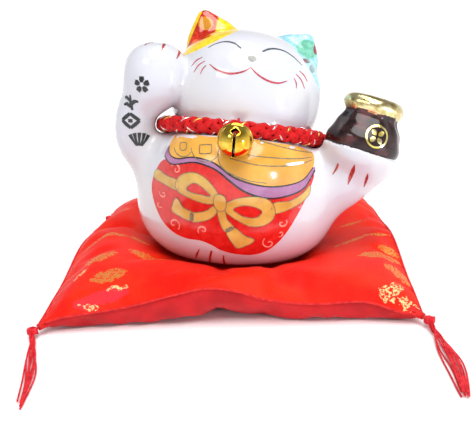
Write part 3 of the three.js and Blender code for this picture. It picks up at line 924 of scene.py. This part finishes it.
def add_arm_marks(surface):
    """Four plain ornaments down the raised arm: a blossom, a leaf spray, a checked lozenge and a fan."""
    paint = Paint(surface, CAT)
    places = [(-44.7, -31.5, 87.2), (-51.0, -26.0, 78.4), (-51.6, -24.4, 69.6), (-47.6, -22.7, 60.4)]
    petals = [[(0.9 * math.cos(a), 0.9 * math.sin(a)), (3.2 * math.cos(a), 3.2 * math.sin(a))]
              for a in np.radians([90, 162, 234, 306, 18])]
    spray = [
        [(0.2, -3.0), (0.0, 0.0), (0.3, 3.2)], [(-0.4, -1.8), (-2.0, -0.6), (-3.8, -1.0)],
        [(0.4, -0.8), (2.0, 0.6), (3.8, 0.4)], [(-0.4, 0.8), (-1.8, 2.0), (-3.4, 1.8)],
    ]
    lozenge = [
        [(0, 2.9), (3.9, 0)], [(3.9, 0), (0, -2.9)], [(0, -2.9), (-3.9, 0)], [(-3.9, 0), (0, 2.9)],
        [(-0.9, 0), (0.9, 0)],
    ]
    fan = [[(0.5 * k, -2.6), (1.5 * k, 0.2), (2.0 * k, 2.8 - 0.25 * k * k)] for k in (-2, -1, 0, 1, 2)]
    widths = ((1.2, 2.7, 2.2), (1.2, 1.9, 0.9), (1.6, 1.9, 1.6), (0.9, 1.2, 2.0))
    size = 1.22
    for place, strokes, width in zip(places, (petals, spray, lozenge, fan), widths):
        centre = settle(surface.field, CAT.out([place]))[0]
        normal = surface.normals(centre[None])[0]
        across = unit(np.cross(CAT.turn[:, 2], normal))
        rise = np.cross(normal, across)
        for order, stroke in enumerate(strokes):
            points = [centre + size * (a * across + b * rise) for a, b in stroke]
            paint.line(points, width, 0, 0.12 + 0.02 * order, 0.5)
    look = enamel("ink_black", (8, 8, 12), (26, 26, 32))
    paint.make("painted_arm_marks", "cat", "white_glaze", [look])


# ------------------------------------------------------------------ the pouch

def brown_glaze():
    """Dark glaze, redder where it ran thin."""
    look = Look("brown_glaze", srgb(52, 32, 34), 0.14,
                Specular_IOR_Level=0.3, Coat_Weight=0.3, Coat_Roughness=0.04)
    cloud = look.noise(0.09, 2.0)
    dark = look.shade(look.noise(0.3, 3.0), (0.35, 0.65), (28, 16, 16), (48, 28, 28))
    look.base(look.mix(look.step(cloud, 0.5, 0.7), dark, srgb(94, 52, 54)))
    look.rough(cloud, 0.08, 0.22)
    look.bump(look.noise(0.3, 3.0), 0.35, 0.5)
    return look


def gold_lustre(name, low, high):
    """Fired gold: metal laid thinly on the glaze, with small bright and dull places."""
    look = Look(name, srgb(*low), 0.2, Metallic=1.0)
    patch = look.noise(0.3, 4.0)
    look.base(look.shade(patch, (0.38, 0.62), low, high))
    look.rough(look.noise(0.7, 3.0), 0.1, 0.34)
    look.bump(patch, 0.25, 0.6)
    return look


def add_pouch():
    """A tied sack of dark glaze with a gold mouth and a gold flower in a ring on its front."""
    vertices, faces = surface_net(pouch_field, (-22, -19, -2), (22, 19, 30), 0.9)
    vertices = settle(pouch_field, vertices)
    # The lustre ends in a wavy line just above the neck.
    middle = vertices[faces].mean(1)
    turn = np.arctan2(middle[:, 1], middle[:, 0])
    edge = 18.6 + 0.5 * np.sin(5 * turn) + 0.3 * np.sin(9 * turn + 1)
    golden = middle[:, 2] > edge
    sack = Geometry()
    world = POUCH.out(vertices)
    sack.add(world, faces)
    sack.materials = [int(g) for g in golden]
    looks = [brown_glaze(), gold_lustre("gold_lustre", (196, 176, 112), (238, 224, 170))]
    sack.make("pouch_sack", "cat", "brown_glaze", looks, ["held_pouch"])

    surface = Surface(lambda points: pouch_field(POUCH.into(points)), world, faces)
    emblem = Paint(surface, POUCH)
    cx, cz = 3.6, 8.4
    ring = spline(arc((cx, cz), (5.0, 5.0), 0, 360, 20), 60)
    emblem.line(surface.seen(POUCH, ring), (0.9, 1.1, 0.8, 1.0), 0, 0.12)
    for k in range(4):
        a = math.radians(90 * k + 45)
        petal = [
            (cx + r * math.cos(a) - w * math.sin(a), cz + r * math.sin(a) + w * math.cos(a))
            for r, w in ((0.7, 0), (2.0, 1.1), (3.4, 0.8), (4.0, 0), (3.4, -0.8), (2.0, -1.1))
        ]
        emblem.area([outline(petal, 0.5)], 0, 0.14)
    look = gold_lustre("emblem_gold", (240, 214, 110), (252, 240, 180))
    emblem.make("pouch_emblem", "cat", "brown_glaze", [look])


# ------------------------------------------------------------------ collar

def braided_red(name, low, high, spacing):
    """Twisted floss: fine slanted fibres with a slight shine."""
    look = Look(name, srgb(*low), 0.5, Specular_IOR_Level=0.2)
    fibre = look.wave(spacing, "DIAGONAL", wave_profile="SIN")
    look.base(look.shade(look.noise(0.45, 3.0), (0.35, 0.65), low, high))
    look.rough(fibre, 0.4, 0.62)
    look.bump(fibre, 0.12, 0.6)
    look.bump(look.noise(2.5, 2.0), 0.1, 0.4)
    return look


def round_cord(turn, angle):
    """Points on the collar's centreline, and the direction away from it at an angle round the cord."""
    centre = COLLAR.out(neck_line(turn))
    outward = unit(COLLAR.out(neck_line(turn) * 1.01) - centre)
    return centre, np.cos(angle)[:, None] * outward + np.sin(angle)[:, None] * COLLAR.turn[:, 2]


def add_collar():
    """Six flat strands braided round and round, some of them carrying metallic threads."""
    turns, strands = 12, 3
    mid_radius, weave = 2.65, 0.42
    steps = 24 * turns
    t = np.arange(steps) / steps

    def strand_path(hand, k, lift=0.0):
        """Centreline of a strand, its direction away from the cord's middle, and where it passes over."""
        angle = hand * 2 * np.pi * turns * t + 2 * np.pi * (k + (0.5 if hand < 0 else 0)) / strands
        centre, away = round_cord(t, angle)
        over = hand * np.sin(2 * np.pi * strands * turns * t)
        return centre + (mid_radius + weave * over + lift)[:, None] * away, away, over

    cord = Geometry()
    for hand in (1, -1):
        for k in range(strands):
            path, away, _ = strand_path(hand, k)
            cord.add(*tube(path, away, 1.95, 1.0, 10, closed=True))
    look = braided_red("collar_red", (184, 10, 16), (214, 22, 24), 1.6)
    cord.make("collar_braid", "cat", "red_cord", [look], ["collar_cord"])

    # Metallic threads lie on three of the strands and show where a strand passes over.
    flecks = Geometry()
    for hand, k, metal in ((1, 0, 0), (1, 1, 1), (-1, 2, 1)):
        path, away, over = strand_path(hand, k, 0.92)
        starts = np.flatnonzero((over > 0.25) & (np.roll(over, 1) <= 0.25))
        for start in starts:
            run = (start + np.arange(5)) % steps
            taper = np.array([0.15, 0.45, 0.55, 0.45, 0.15])
            flecks.add(*tube(path[run], away[run], taper, 0.3 * taper + 0.1, 6), metal)
    looks = [
        gold_lustre("fleck_gold", (232, 176, 70), (252, 226, 130)),
        gold_lustre("fleck_silver", (226, 200, 196), (252, 244, 240)),
    ]
    flecks.make("collar_metallic_threads", "cat", "red_cord", looks)


def trefoil(count):
    """Points round a simple closed knot, about five across and two high."""
    a = np.linspace(0, 2 * np.pi, count, endpoint=False)
    return np.stack([np.sin(a) + 2 * np.sin(2 * a), np.cos(a) - 2 * np.cos(2 * a), -np.sin(3 * a)], -1)


def add_threads():
    """The whipping over the cord's ends at the nape, and the thread that ties the bell on."""
    look = braided_red("thread_red", (176, 14, 30), (220, 44, 54), 3.0)
    rounds, reach = 15, 0.027
    t = np.linspace(0, 1, rounds * 14 + 1)
    centre, away = round_cord(0.5 - reach + 2 * reach * t, 2 * np.pi * rounds * t)
    whipping = Geometry()
    whipping.add(*tube(centre + (CORD_RADIUS + 0.55) * away, away, 0.46, 0.42, 6))
    whipping.make("collar_whipping_thread", "cat", "red_thread", [look], ["collar_whipping"])

    tie = Geometry()
    t = np.linspace(0, 1, 73)
    angle = 2 * np.pi * 2 * t
    middle = np.stack([0.4 * (2 * t - 1), np.cos(angle), np.sin(angle)], -1)
    loop = middle * (1, CORD_RADIUS + 0.9, CORD_RADIUS + 0.55) + (0, -CORD_Y - 0.5, 0)
    tie.add(*tube(COLLAR.out(loop), middle * (0, 1, 1) @ COLLAR.turn.T, 0.33, 0.33, 6))
    knot = COLLAR.out(0.32 * trefoil(48) + (0, -CORD_Y - CORD_RADIUS - 2.0, 0.2))
    tie.add(*tube(knot, transported(knot), 0.3, 0.3, 6, closed=True))
    tie.make("bell_thread_loops", "bell_thread", "red_thread", [look], ["bell_tie_thread"])


# ------------------------------------------------------------------ bell

def polished(name, low, high, smooth=0.06):
    """Bare metal, slightly stained and scratched."""
    look = Look(name, srgb(*low), smooth, Metallic=1.0)
    look.base(look.shade(look.noise(0.22, 4.0), (0.35, 0.7), low, high))
    look.rough(look.noise(0.6, 4.0), smooth, smooth + 0.1)
    look.bump(look.noise(0.25, 2.0), 0.08, 0.3)
    return look


def bell_shell(points, side):
    """Distance to one half of the hollow bell, in its own frame; side is 1 for the back half."""
    x, y, z = points.T
    reach = np.linalg.norm(points, axis=1)
    wall = np.abs(reach - BELL_RADIUS + BELL_WALL / 2) - BELL_WALL / 2
    bead = np.hypot(np.hypot(x, y) - BELL_RADIUS + 0.1, z - side * 0.55) - 0.42
    shell = smooth_max(smooth_min(wall, bead, 0.3), 0.12 - side * z, 0.15)
    if side > 0:
        return smooth_max(shell, 1.9 - np.hypot(x, y), 0.2)
    slit_reach, slit_half = 52, 0.55
    along = np.degrees(np.arctan2(y, -z))
    slit = np.maximum(np.abs(x) - slit_half, (np.abs(along) - slit_reach) * deg(BELL_RADIUS))
    ends = []
    for end, power, size in ((-slit_reach, 1.1, 2.1), (slit_reach, 2.0, 1.4)):
        up = (along - end) * deg(BELL_RADIUS)
        ends.append((np.abs(x) ** power + np.abs(up) ** power) ** (1 / power) - size)
    front = z < 0
    cut = np.where(front, np.minimum(slit, np.minimum(*ends)), 9.0)
    return smooth_max(shell, -cut, 0.2)


def add_bell():
    """Two crimped half shells, a slit with a diamond hole at its top, the wire loop and the pellet."""
    reach = BELL_RADIUS + 1
    for name, side in (("bell_front", -1), ("bell_back", 1)):
        def field(points):
            return bell_shell(points, side)

        low = (-reach, -reach, -reach if side < 0 else -0.6)
        high = (reach, reach, 0.6 if side < 0 else reach)
        vertices, faces = surface_net(field, low, high, 0.3)
        vertices = settle(field, vertices)
        normals = unit(field_slope(field, vertices, 0.02)) @ BELL.turn.T
        shell = Geometry()
        shell.add(BELL.out(vertices), faces, 0, normals)
        deep = np.linalg.norm(vertices[faces].mean(1), axis=1) < BELL_RADIUS - 0.75 * BELL_WALL
        shell.materials = [int(inner) for inner in deep]
        looks = [
            polished(name + "_brass", (218, 170, 44), (244, 210, 90)),
            polished(name + "_tarnished", (70, 46, 20), (104, 74, 34), 0.5),
        ]
        shell.make(name, "bell", "yellow_brass", looks, [name + "_shell"])

    r = BELL_RADIUS
    half = [(2.6, -1.9), (1.5, -1.7), (1.2, -0.6), (1.25, 0.9), (0.8, 1.9)]
    route = [(-x, 0, r + z) for x, z in half] + [(0, 0, r + 2.3)] + [(x, 0, r + z) for x, z in half[::-1]]
    path = BELL.out(spline(route, 44))
    wire = Geometry()
    wire.add(*tube(path, np.broadcast_to(BELL.turn[:, 1], path.shape), 0.4, 0.4, 10))
    look = polished("wire_brass", (206, 160, 48), (230, 190, 80), 0.2)
    wire.make("bell_wire", "bell", "yellow_brass", [look], ["bell_wire_loop"])

    pellet_radius = 1.9
    rest = np.array([0, r - BELL_WALL - pellet_radius - 0.35, 0])

    def pellet_field(points):
        """A steel ball with the small flats and dents of tumbling."""
        local = points - rest
        waves = np.sin(local * (2.6, 2.9, 2.4) + (1, 0, 2))
        return np.linalg.norm(local, axis=1) - pellet_radius + 0.05 * (1 + waves.prod(axis=1))

    vertices, faces = surface_net(pellet_field, rest - 2.4, rest + 2.4, 0.3)
    pellet = Geometry()
    pellet.add(BELL.out(settle(pellet_field, vertices)), faces)
    look = polished("pellet_steel", (120, 120, 118), (160, 160, 156), 0.3)
    pellet.make("bell_steel_pellet", "pellet", "steel_pellet", [look], ["bell_pellet"])


# ------------------------------------------------------------------ cushion

CUSHION_X, CUSHION_Y = 81.5, 77.5     # centre to seam at the middle of a side
CORNER_PULL = 2.2
FOOT_RADIUS, FOOT_STRETCH = 33, 52.5 / 46
CELLS = 44                            # grid cells across a panel

# Height of the front seam, and how far in from it the underside meets the table, from left to right.
FRONT_SEAM = [
    (-1, 5), (-0.86, 8), (-0.56, 11), (-0.27, 16.5), (-0.11, 19), (0.05, 17), (0.2, 12.8), (0.45, 10.2),
    (0.7, 10.8), (0.88, 6), (1, 4)]
FRONT_BELLY = [
    (-1, 12), (-0.6, 11), (-0.35, 13), (-0.18, 18), (-0.02, 32), (0.12, 25), (0.3, 13), (0.5, 9), (1, 9)]

# Shallow folds across the top: from, to, depth and half width.
FOLDS = [
    ((38, 7), (88, 9), 9.0, 8), ((-38, 8), (-86, 12), 3.5, 9), ((-4, -50), (-10, -80), 2.2, 8),
    ((4, 50), (8, 80), 3.5, 9), ((38, -44), (52, -80), 1.4, 7), ((-60, 60), (-84, 80), 4.0, 22),
    ((-26, -54), (20, -54), 3.0, 14),
]


def along(table, places):
    """The value of a table of (place, value) pairs on a smooth curve through them."""
    curve = spline(table, 120)
    return np.interp(places, curve[:, 0], curve[:, 1])


def plan(u, v):
    drawn_in = 3 * np.exp(-((v - 0.7) / 0.22) ** 2)
    bulging = 5 * (1 - v**4) * (0.6 + 0.4 * v)
    x = u * (CUSHION_X + CORNER_PULL * v**4 + u**4 * np.where(u < 0, -drawn_in, bulging))
    y = v * (CUSHION_Y + CORNER_PULL * u**4)
    return x, y


def front_share(u, v):
    """1 on the front of the cushion, fading to 0 at the sides and back."""
    return np.clip((-v - np.abs(u) + 0.25) / 0.25, 0, 1)


def seam_height(u, v):
    plain = 14 - 9 * (u * v) ** 2 + 1.2 * np.sin(7 * u + 1) * v**4 + 1.4 * np.sin(6 * v + 2) * u**4
    front = along(FRONT_SEAM, u)
    share = front_share(u, v) * np.abs(v) ** 3
    return plain + (front - plain) * share


def puff(u, v):
    return np.sqrt(np.maximum((1 - u**4) * (1 - v**4), 0))


def past_foot(points):
    """How far points lie outside the cat's foot, which is a little wider than it is deep."""
    local = CAT.into(points)
    return np.hypot(local[..., 0], local[..., 1] * FOOT_STRETCH) - FOOT_RADIUS


def top_height(u, v):
    """The stuffed top, hollowed round the cat's foot and folded where the cloth pulls."""
    x, y = plan(u, v)
    free = seam_height(u, v) + (10.5 + 5.5 * v) * puff(u, v)
    for start, end, depth, width in FOLDS:
        a, b = np.array(start, float), np.array(end, float)
        span = b - a
        t = np.clip(((x - a[0]) * span[0] + (y - a[1]) * span[1]) / (span @ span), 0, 1)
        gap = np.hypot(x - a[0] - t * span[0], y - a[1] - t * span[1])
        free = free - depth * np.exp(-((gap / width) ** 2)) * puff(u, v)
    place = np.stack([x, y, 0 * x], -1)
    beyond = np.maximum(past_foot(place) - 5, 0)
    ahead = np.clip(-CAT.into(place)[..., 1] / FOOT_RADIUS, 0, 1)
    up = CAT.turn[:, 2]
    sole = CAT.place[2] - (up[0] * (x - CAT.place[0]) + up[1] * (y - CAT.place[1])) / up[2]
    pressed = sole - 1.2 - 0.8 * ahead + (0.32 - 0.12 * ahead) * beyond
    return smooth_min(free, pressed, 5)


def bottom_height(u, v):
    """The underside curls in from the seam and lies flat on the table."""
    inward = np.minimum(CUSHION_X * (1 - np.abs(u)), CUSHION_Y * (1 - np.abs(v)))
    width = 12 + (along(FRONT_BELLY, u) - 12) * front_share(u, v)
    curl_in = np.clip(1 - inward / width, 0, 1)
    return seam_height(u, v) * (1 - np.sqrt(1 - curl_in**2))


def cushion_grid():
    """Both covers on one grid, sharing the seam: vertices, faces and how many faces are on top."""
    s = np.linspace(-1, 1, CELLS + 1)
    s = np.sin(1.25 * s) / math.sin(1.25)
    u, v = (a.ravel() for a in np.meshgrid(s, s, indexing="ij"))
    edge = (np.abs(u) > 0.9999) | (np.abs(v) > 0.9999)
    x, y = plan(u, v)
    top = np.where(edge, seam_height(u, v), top_height(u, v))
    bottom = np.minimum(bottom_height(u, v), top - 2)
    upper = np.stack([x, y, top], -1)
    lower = np.stack([x, y, bottom], -1)[~edge]
    size = CELLS + 1
    index = np.arange(size * size).reshape(size, size)
    under = index.copy()
    under.ravel()[~edge] = size * size + np.arange((~edge).sum())

    def corners(grid):
        return np.stack([grid[:-1, :-1], grid[1:, :-1], grid[1:, 1:], grid[:-1, 1:]], -1).reshape(-1, 4)

    over = corners(index)
    return np.vstack([upper, lower]), np.vstack([over, corners(under)[:, ::-1]]), len(over), edge


def stuffed(vertices, faces, pinned):
    """The covers blown up as cloth, held where they are pinned; no point moves more than the cap."""
    cap, frames = 4.0, 20
    scale = 10 * MM     # ten times life size, where the cloth solver is steady
    mesh = bpy.data.meshes.new("covers")
    mesh.from_pydata((vertices * scale).tolist(), [], [tuple(int(i) for i in f) for f in faces])
    covers = bpy.data.objects.new("covers", mesh)
    bpy.context.collection.objects.link(covers)
    held = covers.vertex_groups.new(name="held")
    for i, weight in enumerate(pinned):
        if weight > 0:
            held.add([i], float(weight), "REPLACE")
    cloth = covers.modifiers.new("cloth", "CLOTH")
    settings = {
        "quality": 6, "mass": 0.3, "tension_stiffness": 15, "compression_stiffness": 15,
        "bending_stiffness": 0.3, "use_pressure": True, "uniform_pressure_force": 4,
        "vertex_group_mass": "held", "pin_stiffness": 1.0, "shrink_min": -0.05,
    }
    for key, value in settings.items():
        setattr(cloth.settings, key, value)
    cloth.settings.effector_weights.gravity = 0
    cloth.collision_settings.use_collision = False
    scene = bpy.context.scene
    scene.frame_start, scene.frame_end = 1, frames
    cloth.point_cache.frame_start, cloth.point_cache.frame_end = 1, frames
    for frame in range(1, frames + 1):
        scene.frame_set(frame)
        depsgraph = bpy.context.evaluated_depsgraph_get()
    blown = covers.evaluated_get(depsgraph).to_mesh()
    found = np.empty(len(vertices) * 3)
    blown.vertices.foreach_get("co", found)
    moved = found.reshape(-1, 3) / scale - vertices
    bpy.data.objects.remove(covers)
    scene.frame_set(1)
    far = np.linalg.norm(moved, axis=1, keepdims=True)
    return vertices + moved * np.minimum(1, cap / np.maximum(far, 1e-6))


def add_cushion():
    """Brocade above, satin below, sewn together round the edge and stuffed."""
    vertices, faces, over, edge = cushion_grid()
    on_top = np.arange(len(vertices)) < len(edge)
    seam = np.zeros(len(vertices), bool)
    seam[:len(edge)] = edge
    pinned = np.where(seam, 1.0, 0.0)
    pinned[(vertices[:, 2] < 0.4) & ~on_top] = 1
    pinned[on_top & (past_foot(vertices) < 4)] = 1
    vertices = stuffed(vertices, faces, pinned)
    # Nothing goes through the table or the cat.
    for _ in range(4):
        near = np.maximum(0.6 - cat_field(CAT.into(vertices)), 0)
        vertices[:, 2] -= near
    vertices[:, 2] = np.maximum(vertices[:, 2], 0.05)
    cover = Geometry()
    cover.add(vertices, faces)
    cover.materials = [0] * over + [1] * (len(faces) - over)
    cushion = cover.make("brocade_cushion", "cushion", "red_brocade", [brocade(), satin()],
                         ["cushion_top_panel", "cushion_bottom_panel", "cushion_stuffing"])
    # The seam stays crisp when the cloth is made finer.
    crease = cushion.data.attributes.new("crease_edge", "FLOAT", "EDGE")
    ends = np.empty(len(cushion.data.edges) * 2, int)
    cushion.data.edges.foreach_get("vertices", ends)
    crease.data.foreach_set("value", np.where(seam[ends.reshape(-1, 2)].all(1), 1.0, 0.0))
    cushion.modifiers.new("finer", "SUBSURF").render_levels = 1
    cushion.modifiers["finer"].levels = 1

    # The sewn edge stands out as a thin welt.
    size = CELLS + 1
    grid = np.arange(size * size).reshape(size, size)
    rim = np.r_[grid[:, 0], grid[-1, 1:], grid[-2::-1, -1], grid[0, -2:0:-1]]
    path = spline(vertices[rim], 420, closed=True)
    centre = path * (1, 1, 0)
    welt = Geometry()
    welt.add(*tube(path, unit(centre), 0.55, 0.6, 8, closed=True))
    look = braided_red("seam_red", (200, 26, 30), (226, 44, 38), 1.4)
    welt.make("cushion_seam_welt", "cushion", "crimson_satin", [look])


# Woven figures on the cushion's top: x, y, turn in degrees, half length and half width.
GOLD_LEAVES = [
    (-63, -41, 38, 8, 4.5), (-55, -60, 20, 8, 5), (-72, -17, 40, 7, 1.8), (-62, -12, 8, 8, 1.8),
    (-49, -13, -28, 6, 1.6), (-40, -37, -26, 10, 4), (-66, 31, 12, 5, 0.8), (-69, 52, 30, 6, 2),
    (72, -38, -6, 9, 4.5), (79, -28, -40, 6, 3), (79, -55, -38, 8, 5), (62, -12, 18, 9, 1.6),
    (76, -8, 6, 7, 1.4), (66, 16, 10, 6, 1.6), (-20, 66, 12, 11, 5), (18, 58, -20, 9, 4),
    (46, 66, 25, 8, 4.5), (-48, 70, -15, 7, 4),
]
PINK_LEAVES = [(-54, -72, 10, 11, 3.2), (-63, -75, -8, 6, 2.2), (30, 70, 10, 9, 3)]
BRIGHT_FLOWERS = [
    (71, -72, 20, 5, 3), (78, -76, -30, 5.5, 3.5), (76, -67, 10, 3, 2), (-50, -69, 12, 4.5, 1.3),
    (-61, -76, -14, 4, 1.2), (-70, -55, 60, 4, 1), (60, 71, -20, 5, 3),
]


def add_corner_tabs():
    """The gathered cloth at each corner of the cushion, drawn to a blunt tip."""
    rows, sides = 9, 24
    t = np.linspace(0, 1, rows)
    turn = np.tile(2 * np.pi * np.arange(sides) / sides, rows)
    tabs = Geometry()
    for side_x in (-1, 1):
        for side_y in (-1, 1):
            start = np.array([side_x * 78.5, side_y * 74.5, 5.2])
            end = np.array([side_x * 83.7, side_y * 79.7, 3.9])
            path = start + (end - start) * t[:, None]
            made, faces = tube(path, transported(path), 3.4 - 1.7 * t**0.7, 2.6 - 1.1 * t**0.7, sides)
            # Five pleats run along the tab, and its end bulges a little.
            centre = np.repeat(path, sides, axis=0)
            made = centre + (made - centre) * (1 - 0.065 * (1 + np.cos(5 * turn)))[:, None]
            tabs.add(made + 0.25 * unit(end - start) * np.repeat(t, sides)[:, None] ** 6, faces)
    tabs.make("cushion_corner_tabs", "cushion", "red_brocade", [tab_satin()])


def tab_satin():
    look = Look("tab_satin", srgb(206, 26, 30), 0.42, Specular_IOR_Level=0.2)
    tone = look.noise(0.4, 3.0)
    look.base(look.shade(tone, (0.35, 0.65), (192, 18, 24), (224, 34, 28)))
    look.rough(tone, 0.36, 0.52)
    look.bump(look.wave(0.9, "DIAGONAL"), 0.12, 0.5)
    return look


def brocade():
    """Red twill with woven leaves and flowers in metallic thread."""
    look = Look("red_brocade", srgb(246, 36, 22), 0.5, Specular_IOR_Level=0.14)
    cloth = look.shade(look.noise(0.05, 2.0), (0.35, 0.65), (248, 28, 12), (255, 48, 18))
    twill = look.wave(0.4, "DIAGONAL", wave_profile="SIN")
    cloth = look.mix(look.math("MULTIPLY", twill, 0.5), cloth, srgb(184, 10, 6))
    ragged = look.noise(0.35, 3.0)

    def patches(spots, ragged_by):
        """A mask over tilted ellipses with ragged edges; a spot is x, y, turn, half length, half width."""
        total = None
        for x, y, turn, length, width in spots:
            oval = {"Vector": look.place, "Location": (x, y, 0), "Rotation": (0, 0, deg(turn)),
                    "Scale": (length, width, 200)}
            mapping = look.add("Mapping", oval, vector_type="TEXTURE")
            far = look.add("VectorMath", {0: mapping.outputs[0]}, operation="LENGTH").outputs["Value"]
            total = far if total is None else look.math("MINIMUM", total, far)
        edge = look.math("ADD", total, look.math("MULTIPLY", look.math("SUBTRACT", ragged, 0.5), ragged_by))
        return look.math("LESS_THAN", edge, 1.0)

    speckle = look.step(look.noise(1.1, 2.0), 0.42, 0.5)
    gold = look.math("MULTIPLY", patches(GOLD_LEAVES, 1.3), speckle)
    pink = patches(PINK_LEAVES, 1.5)
    glitter = look.step(look.noise(0.9, 2.0), 0.45, 0.53)
    bright = look.math("MULTIPLY", patches(BRIGHT_FLOWERS, 2.6), glitter)
    cloth = look.mix(look.math("MULTIPLY", pink, 0.7), cloth, srgb(236, 48, 66))
    cloth = look.mix(gold, cloth, srgb(226, 142, 60))
    look.base(look.mix(look.math("MULTIPLY", bright, 0.85), cloth, srgb(248, 218, 150)))
    metal = look.math("MAXIMUM", gold, bright)
    look.put(look.shader.inputs["Metallic"], look.math("MULTIPLY", metal, 0.35))
    look.rough(metal, 0.46, 0.3)
    look.bump(twill, 0.3, 0.8)
    look.bump(look.noise(0.12, 3.0), 0.9, 0.35)
    look.bump(metal, 0.15, 0.6)
    return look


def satin():
    look = Look("crimson_satin", srgb(190, 26, 34), 0.4, Specular_IOR_Level=0.22)
    look.base(look.shade(look.noise(0.07, 3.0), (0.35, 0.65), (172, 10, 20), (198, 20, 26)))
    look.rough(look.noise(0.4, 2.0), 0.38, 0.52)
    look.bump(look.wave(0.7, "DIAGONAL"), 0.08, 0.4)
    look.bump(look.noise(0.12, 3.0), 1.0, 0.4)
    return look


# ------------------------------------------------------------------ tassels

THREADS, THREAD_RADIUS = 11, 0.36

# Which corner, the way the threads lie (degrees from +X), their length, sideways bow, drift and spread,
# and the seed that scatters them.
TASSELS = {
    "front_left": (-1, -1, -78, 58, 1.2, 0.5, 3.2, 39), "front_right": (1, -1, -93, 56, 1.6, 2.2, 5.4, 25),
    "back_left": (-1, 1, 35, 50, -2.0, 0, 5.0, 51), "back_right": (1, 1, 145, 50, 2.0, 0, 5.0, 62),
}


def add_tassel(name, side_x, side_y, heading, length, bow, drift, spread, seed):
    """A knot at the cushion's corner and its loose threads on the table, three apart from the rest."""
    body = name + "_tassel"
    look = braided_red(name + "_tassel_red", (206, 24, 38), (236, 52, 60), 2.2)
    place = np.array([side_x * 85.9, side_y * 81.9, 3.2])
    ahead = np.array([math.cos(deg(heading)), math.sin(deg(heading)), 0])
    across = np.array([-ahead[1], ahead[0], 0])

    loops = place + 0.56 * trefoil(64) @ np.array([ahead, across, (0, 0, 1.3)])
    knot = Geometry()
    knot.add(*tube(loops, transported(loops), 0.88, 0.88, 10, closed=True))
    t = np.linspace(0, 1, 90)
    wraps = place + np.stack([
        1.85 * np.cos(6 * np.pi * t), 1.85 * np.sin(6 * np.pi * t), 2.4 * (t - 0.5)], -1)
    knot.add(*tube(wraps, wraps - place, 0.62, 0.62, 8))
    knot.make(name + "_knot_loops", body, "red_thread", [look], [body + "_knot"])

    rng = np.random.default_rng(seed)
    threads = Geometry()
    t = np.linspace(0, 1, 44)
    open_up = np.clip((t - 0.12) / 0.88, 0, 1)
    fan = np.sin(np.pi * open_up**0.9) ** 0.8 + 0.5 * open_up**2
    for i in range(THREADS):
        turn = 2 * np.pi * (i / THREADS + 1.2 * t)
        ring = (1.0 if i % 2 else 0.5) * (1 - 0.75 * open_up)
        lane = (-0.5 + 0.2 * i if i < 3 else 0.5 - 0.07 * (i - 3)) * spread + rng.normal(0, 0.15)
        wave = rng.normal(0, 0.45) * np.sin(np.pi * (rng.uniform(1, 2) * t + rng.uniform(0, 1))) * open_up
        side = ring * np.cos(turn) + lane * fan + wave + bow * np.sin(np.pi * t) + drift * t
        layer = 0.42 + 0.66 * rng.integers(0, 2)
        centre = 1.5 + 1.7 * np.exp(-t / 0.08)
        flat = np.clip((t - 0.1) / 0.35, 0, 1)
        height = (centre + ring * np.sin(turn)) * (1 - flat) + layer * flat
        reach = 1.2 + (length - 1.2) * t * (1 - rng.uniform(0, 0.11))
        path = place * (1, 1, 0) + reach[:, None] * ahead + side[:, None] * across
        path[:, 2] = np.maximum(height, 0.4)
        threads.add(*tube(path, transported(path), THREAD_RADIUS, THREAD_RADIUS, 6))
    threads.make(name + "_tassel_strands", body, "red_thread", [look], [body + "_threads"])


# ------------------------------------------------------------------ assembly

add_camera()
add_studio()
vertices, faces, cat = cat_surface()
add_cat(vertices, faces)
add_face(cat)
add_claws(cat)
add_belly(cat)
add_arm_marks(cat)
add_pouch()
add_collar()
add_threads()
add_bell()
add_cushion()
add_corner_tabs()
for name, facts in TASSELS.items():
    add_tassel(name, *facts)
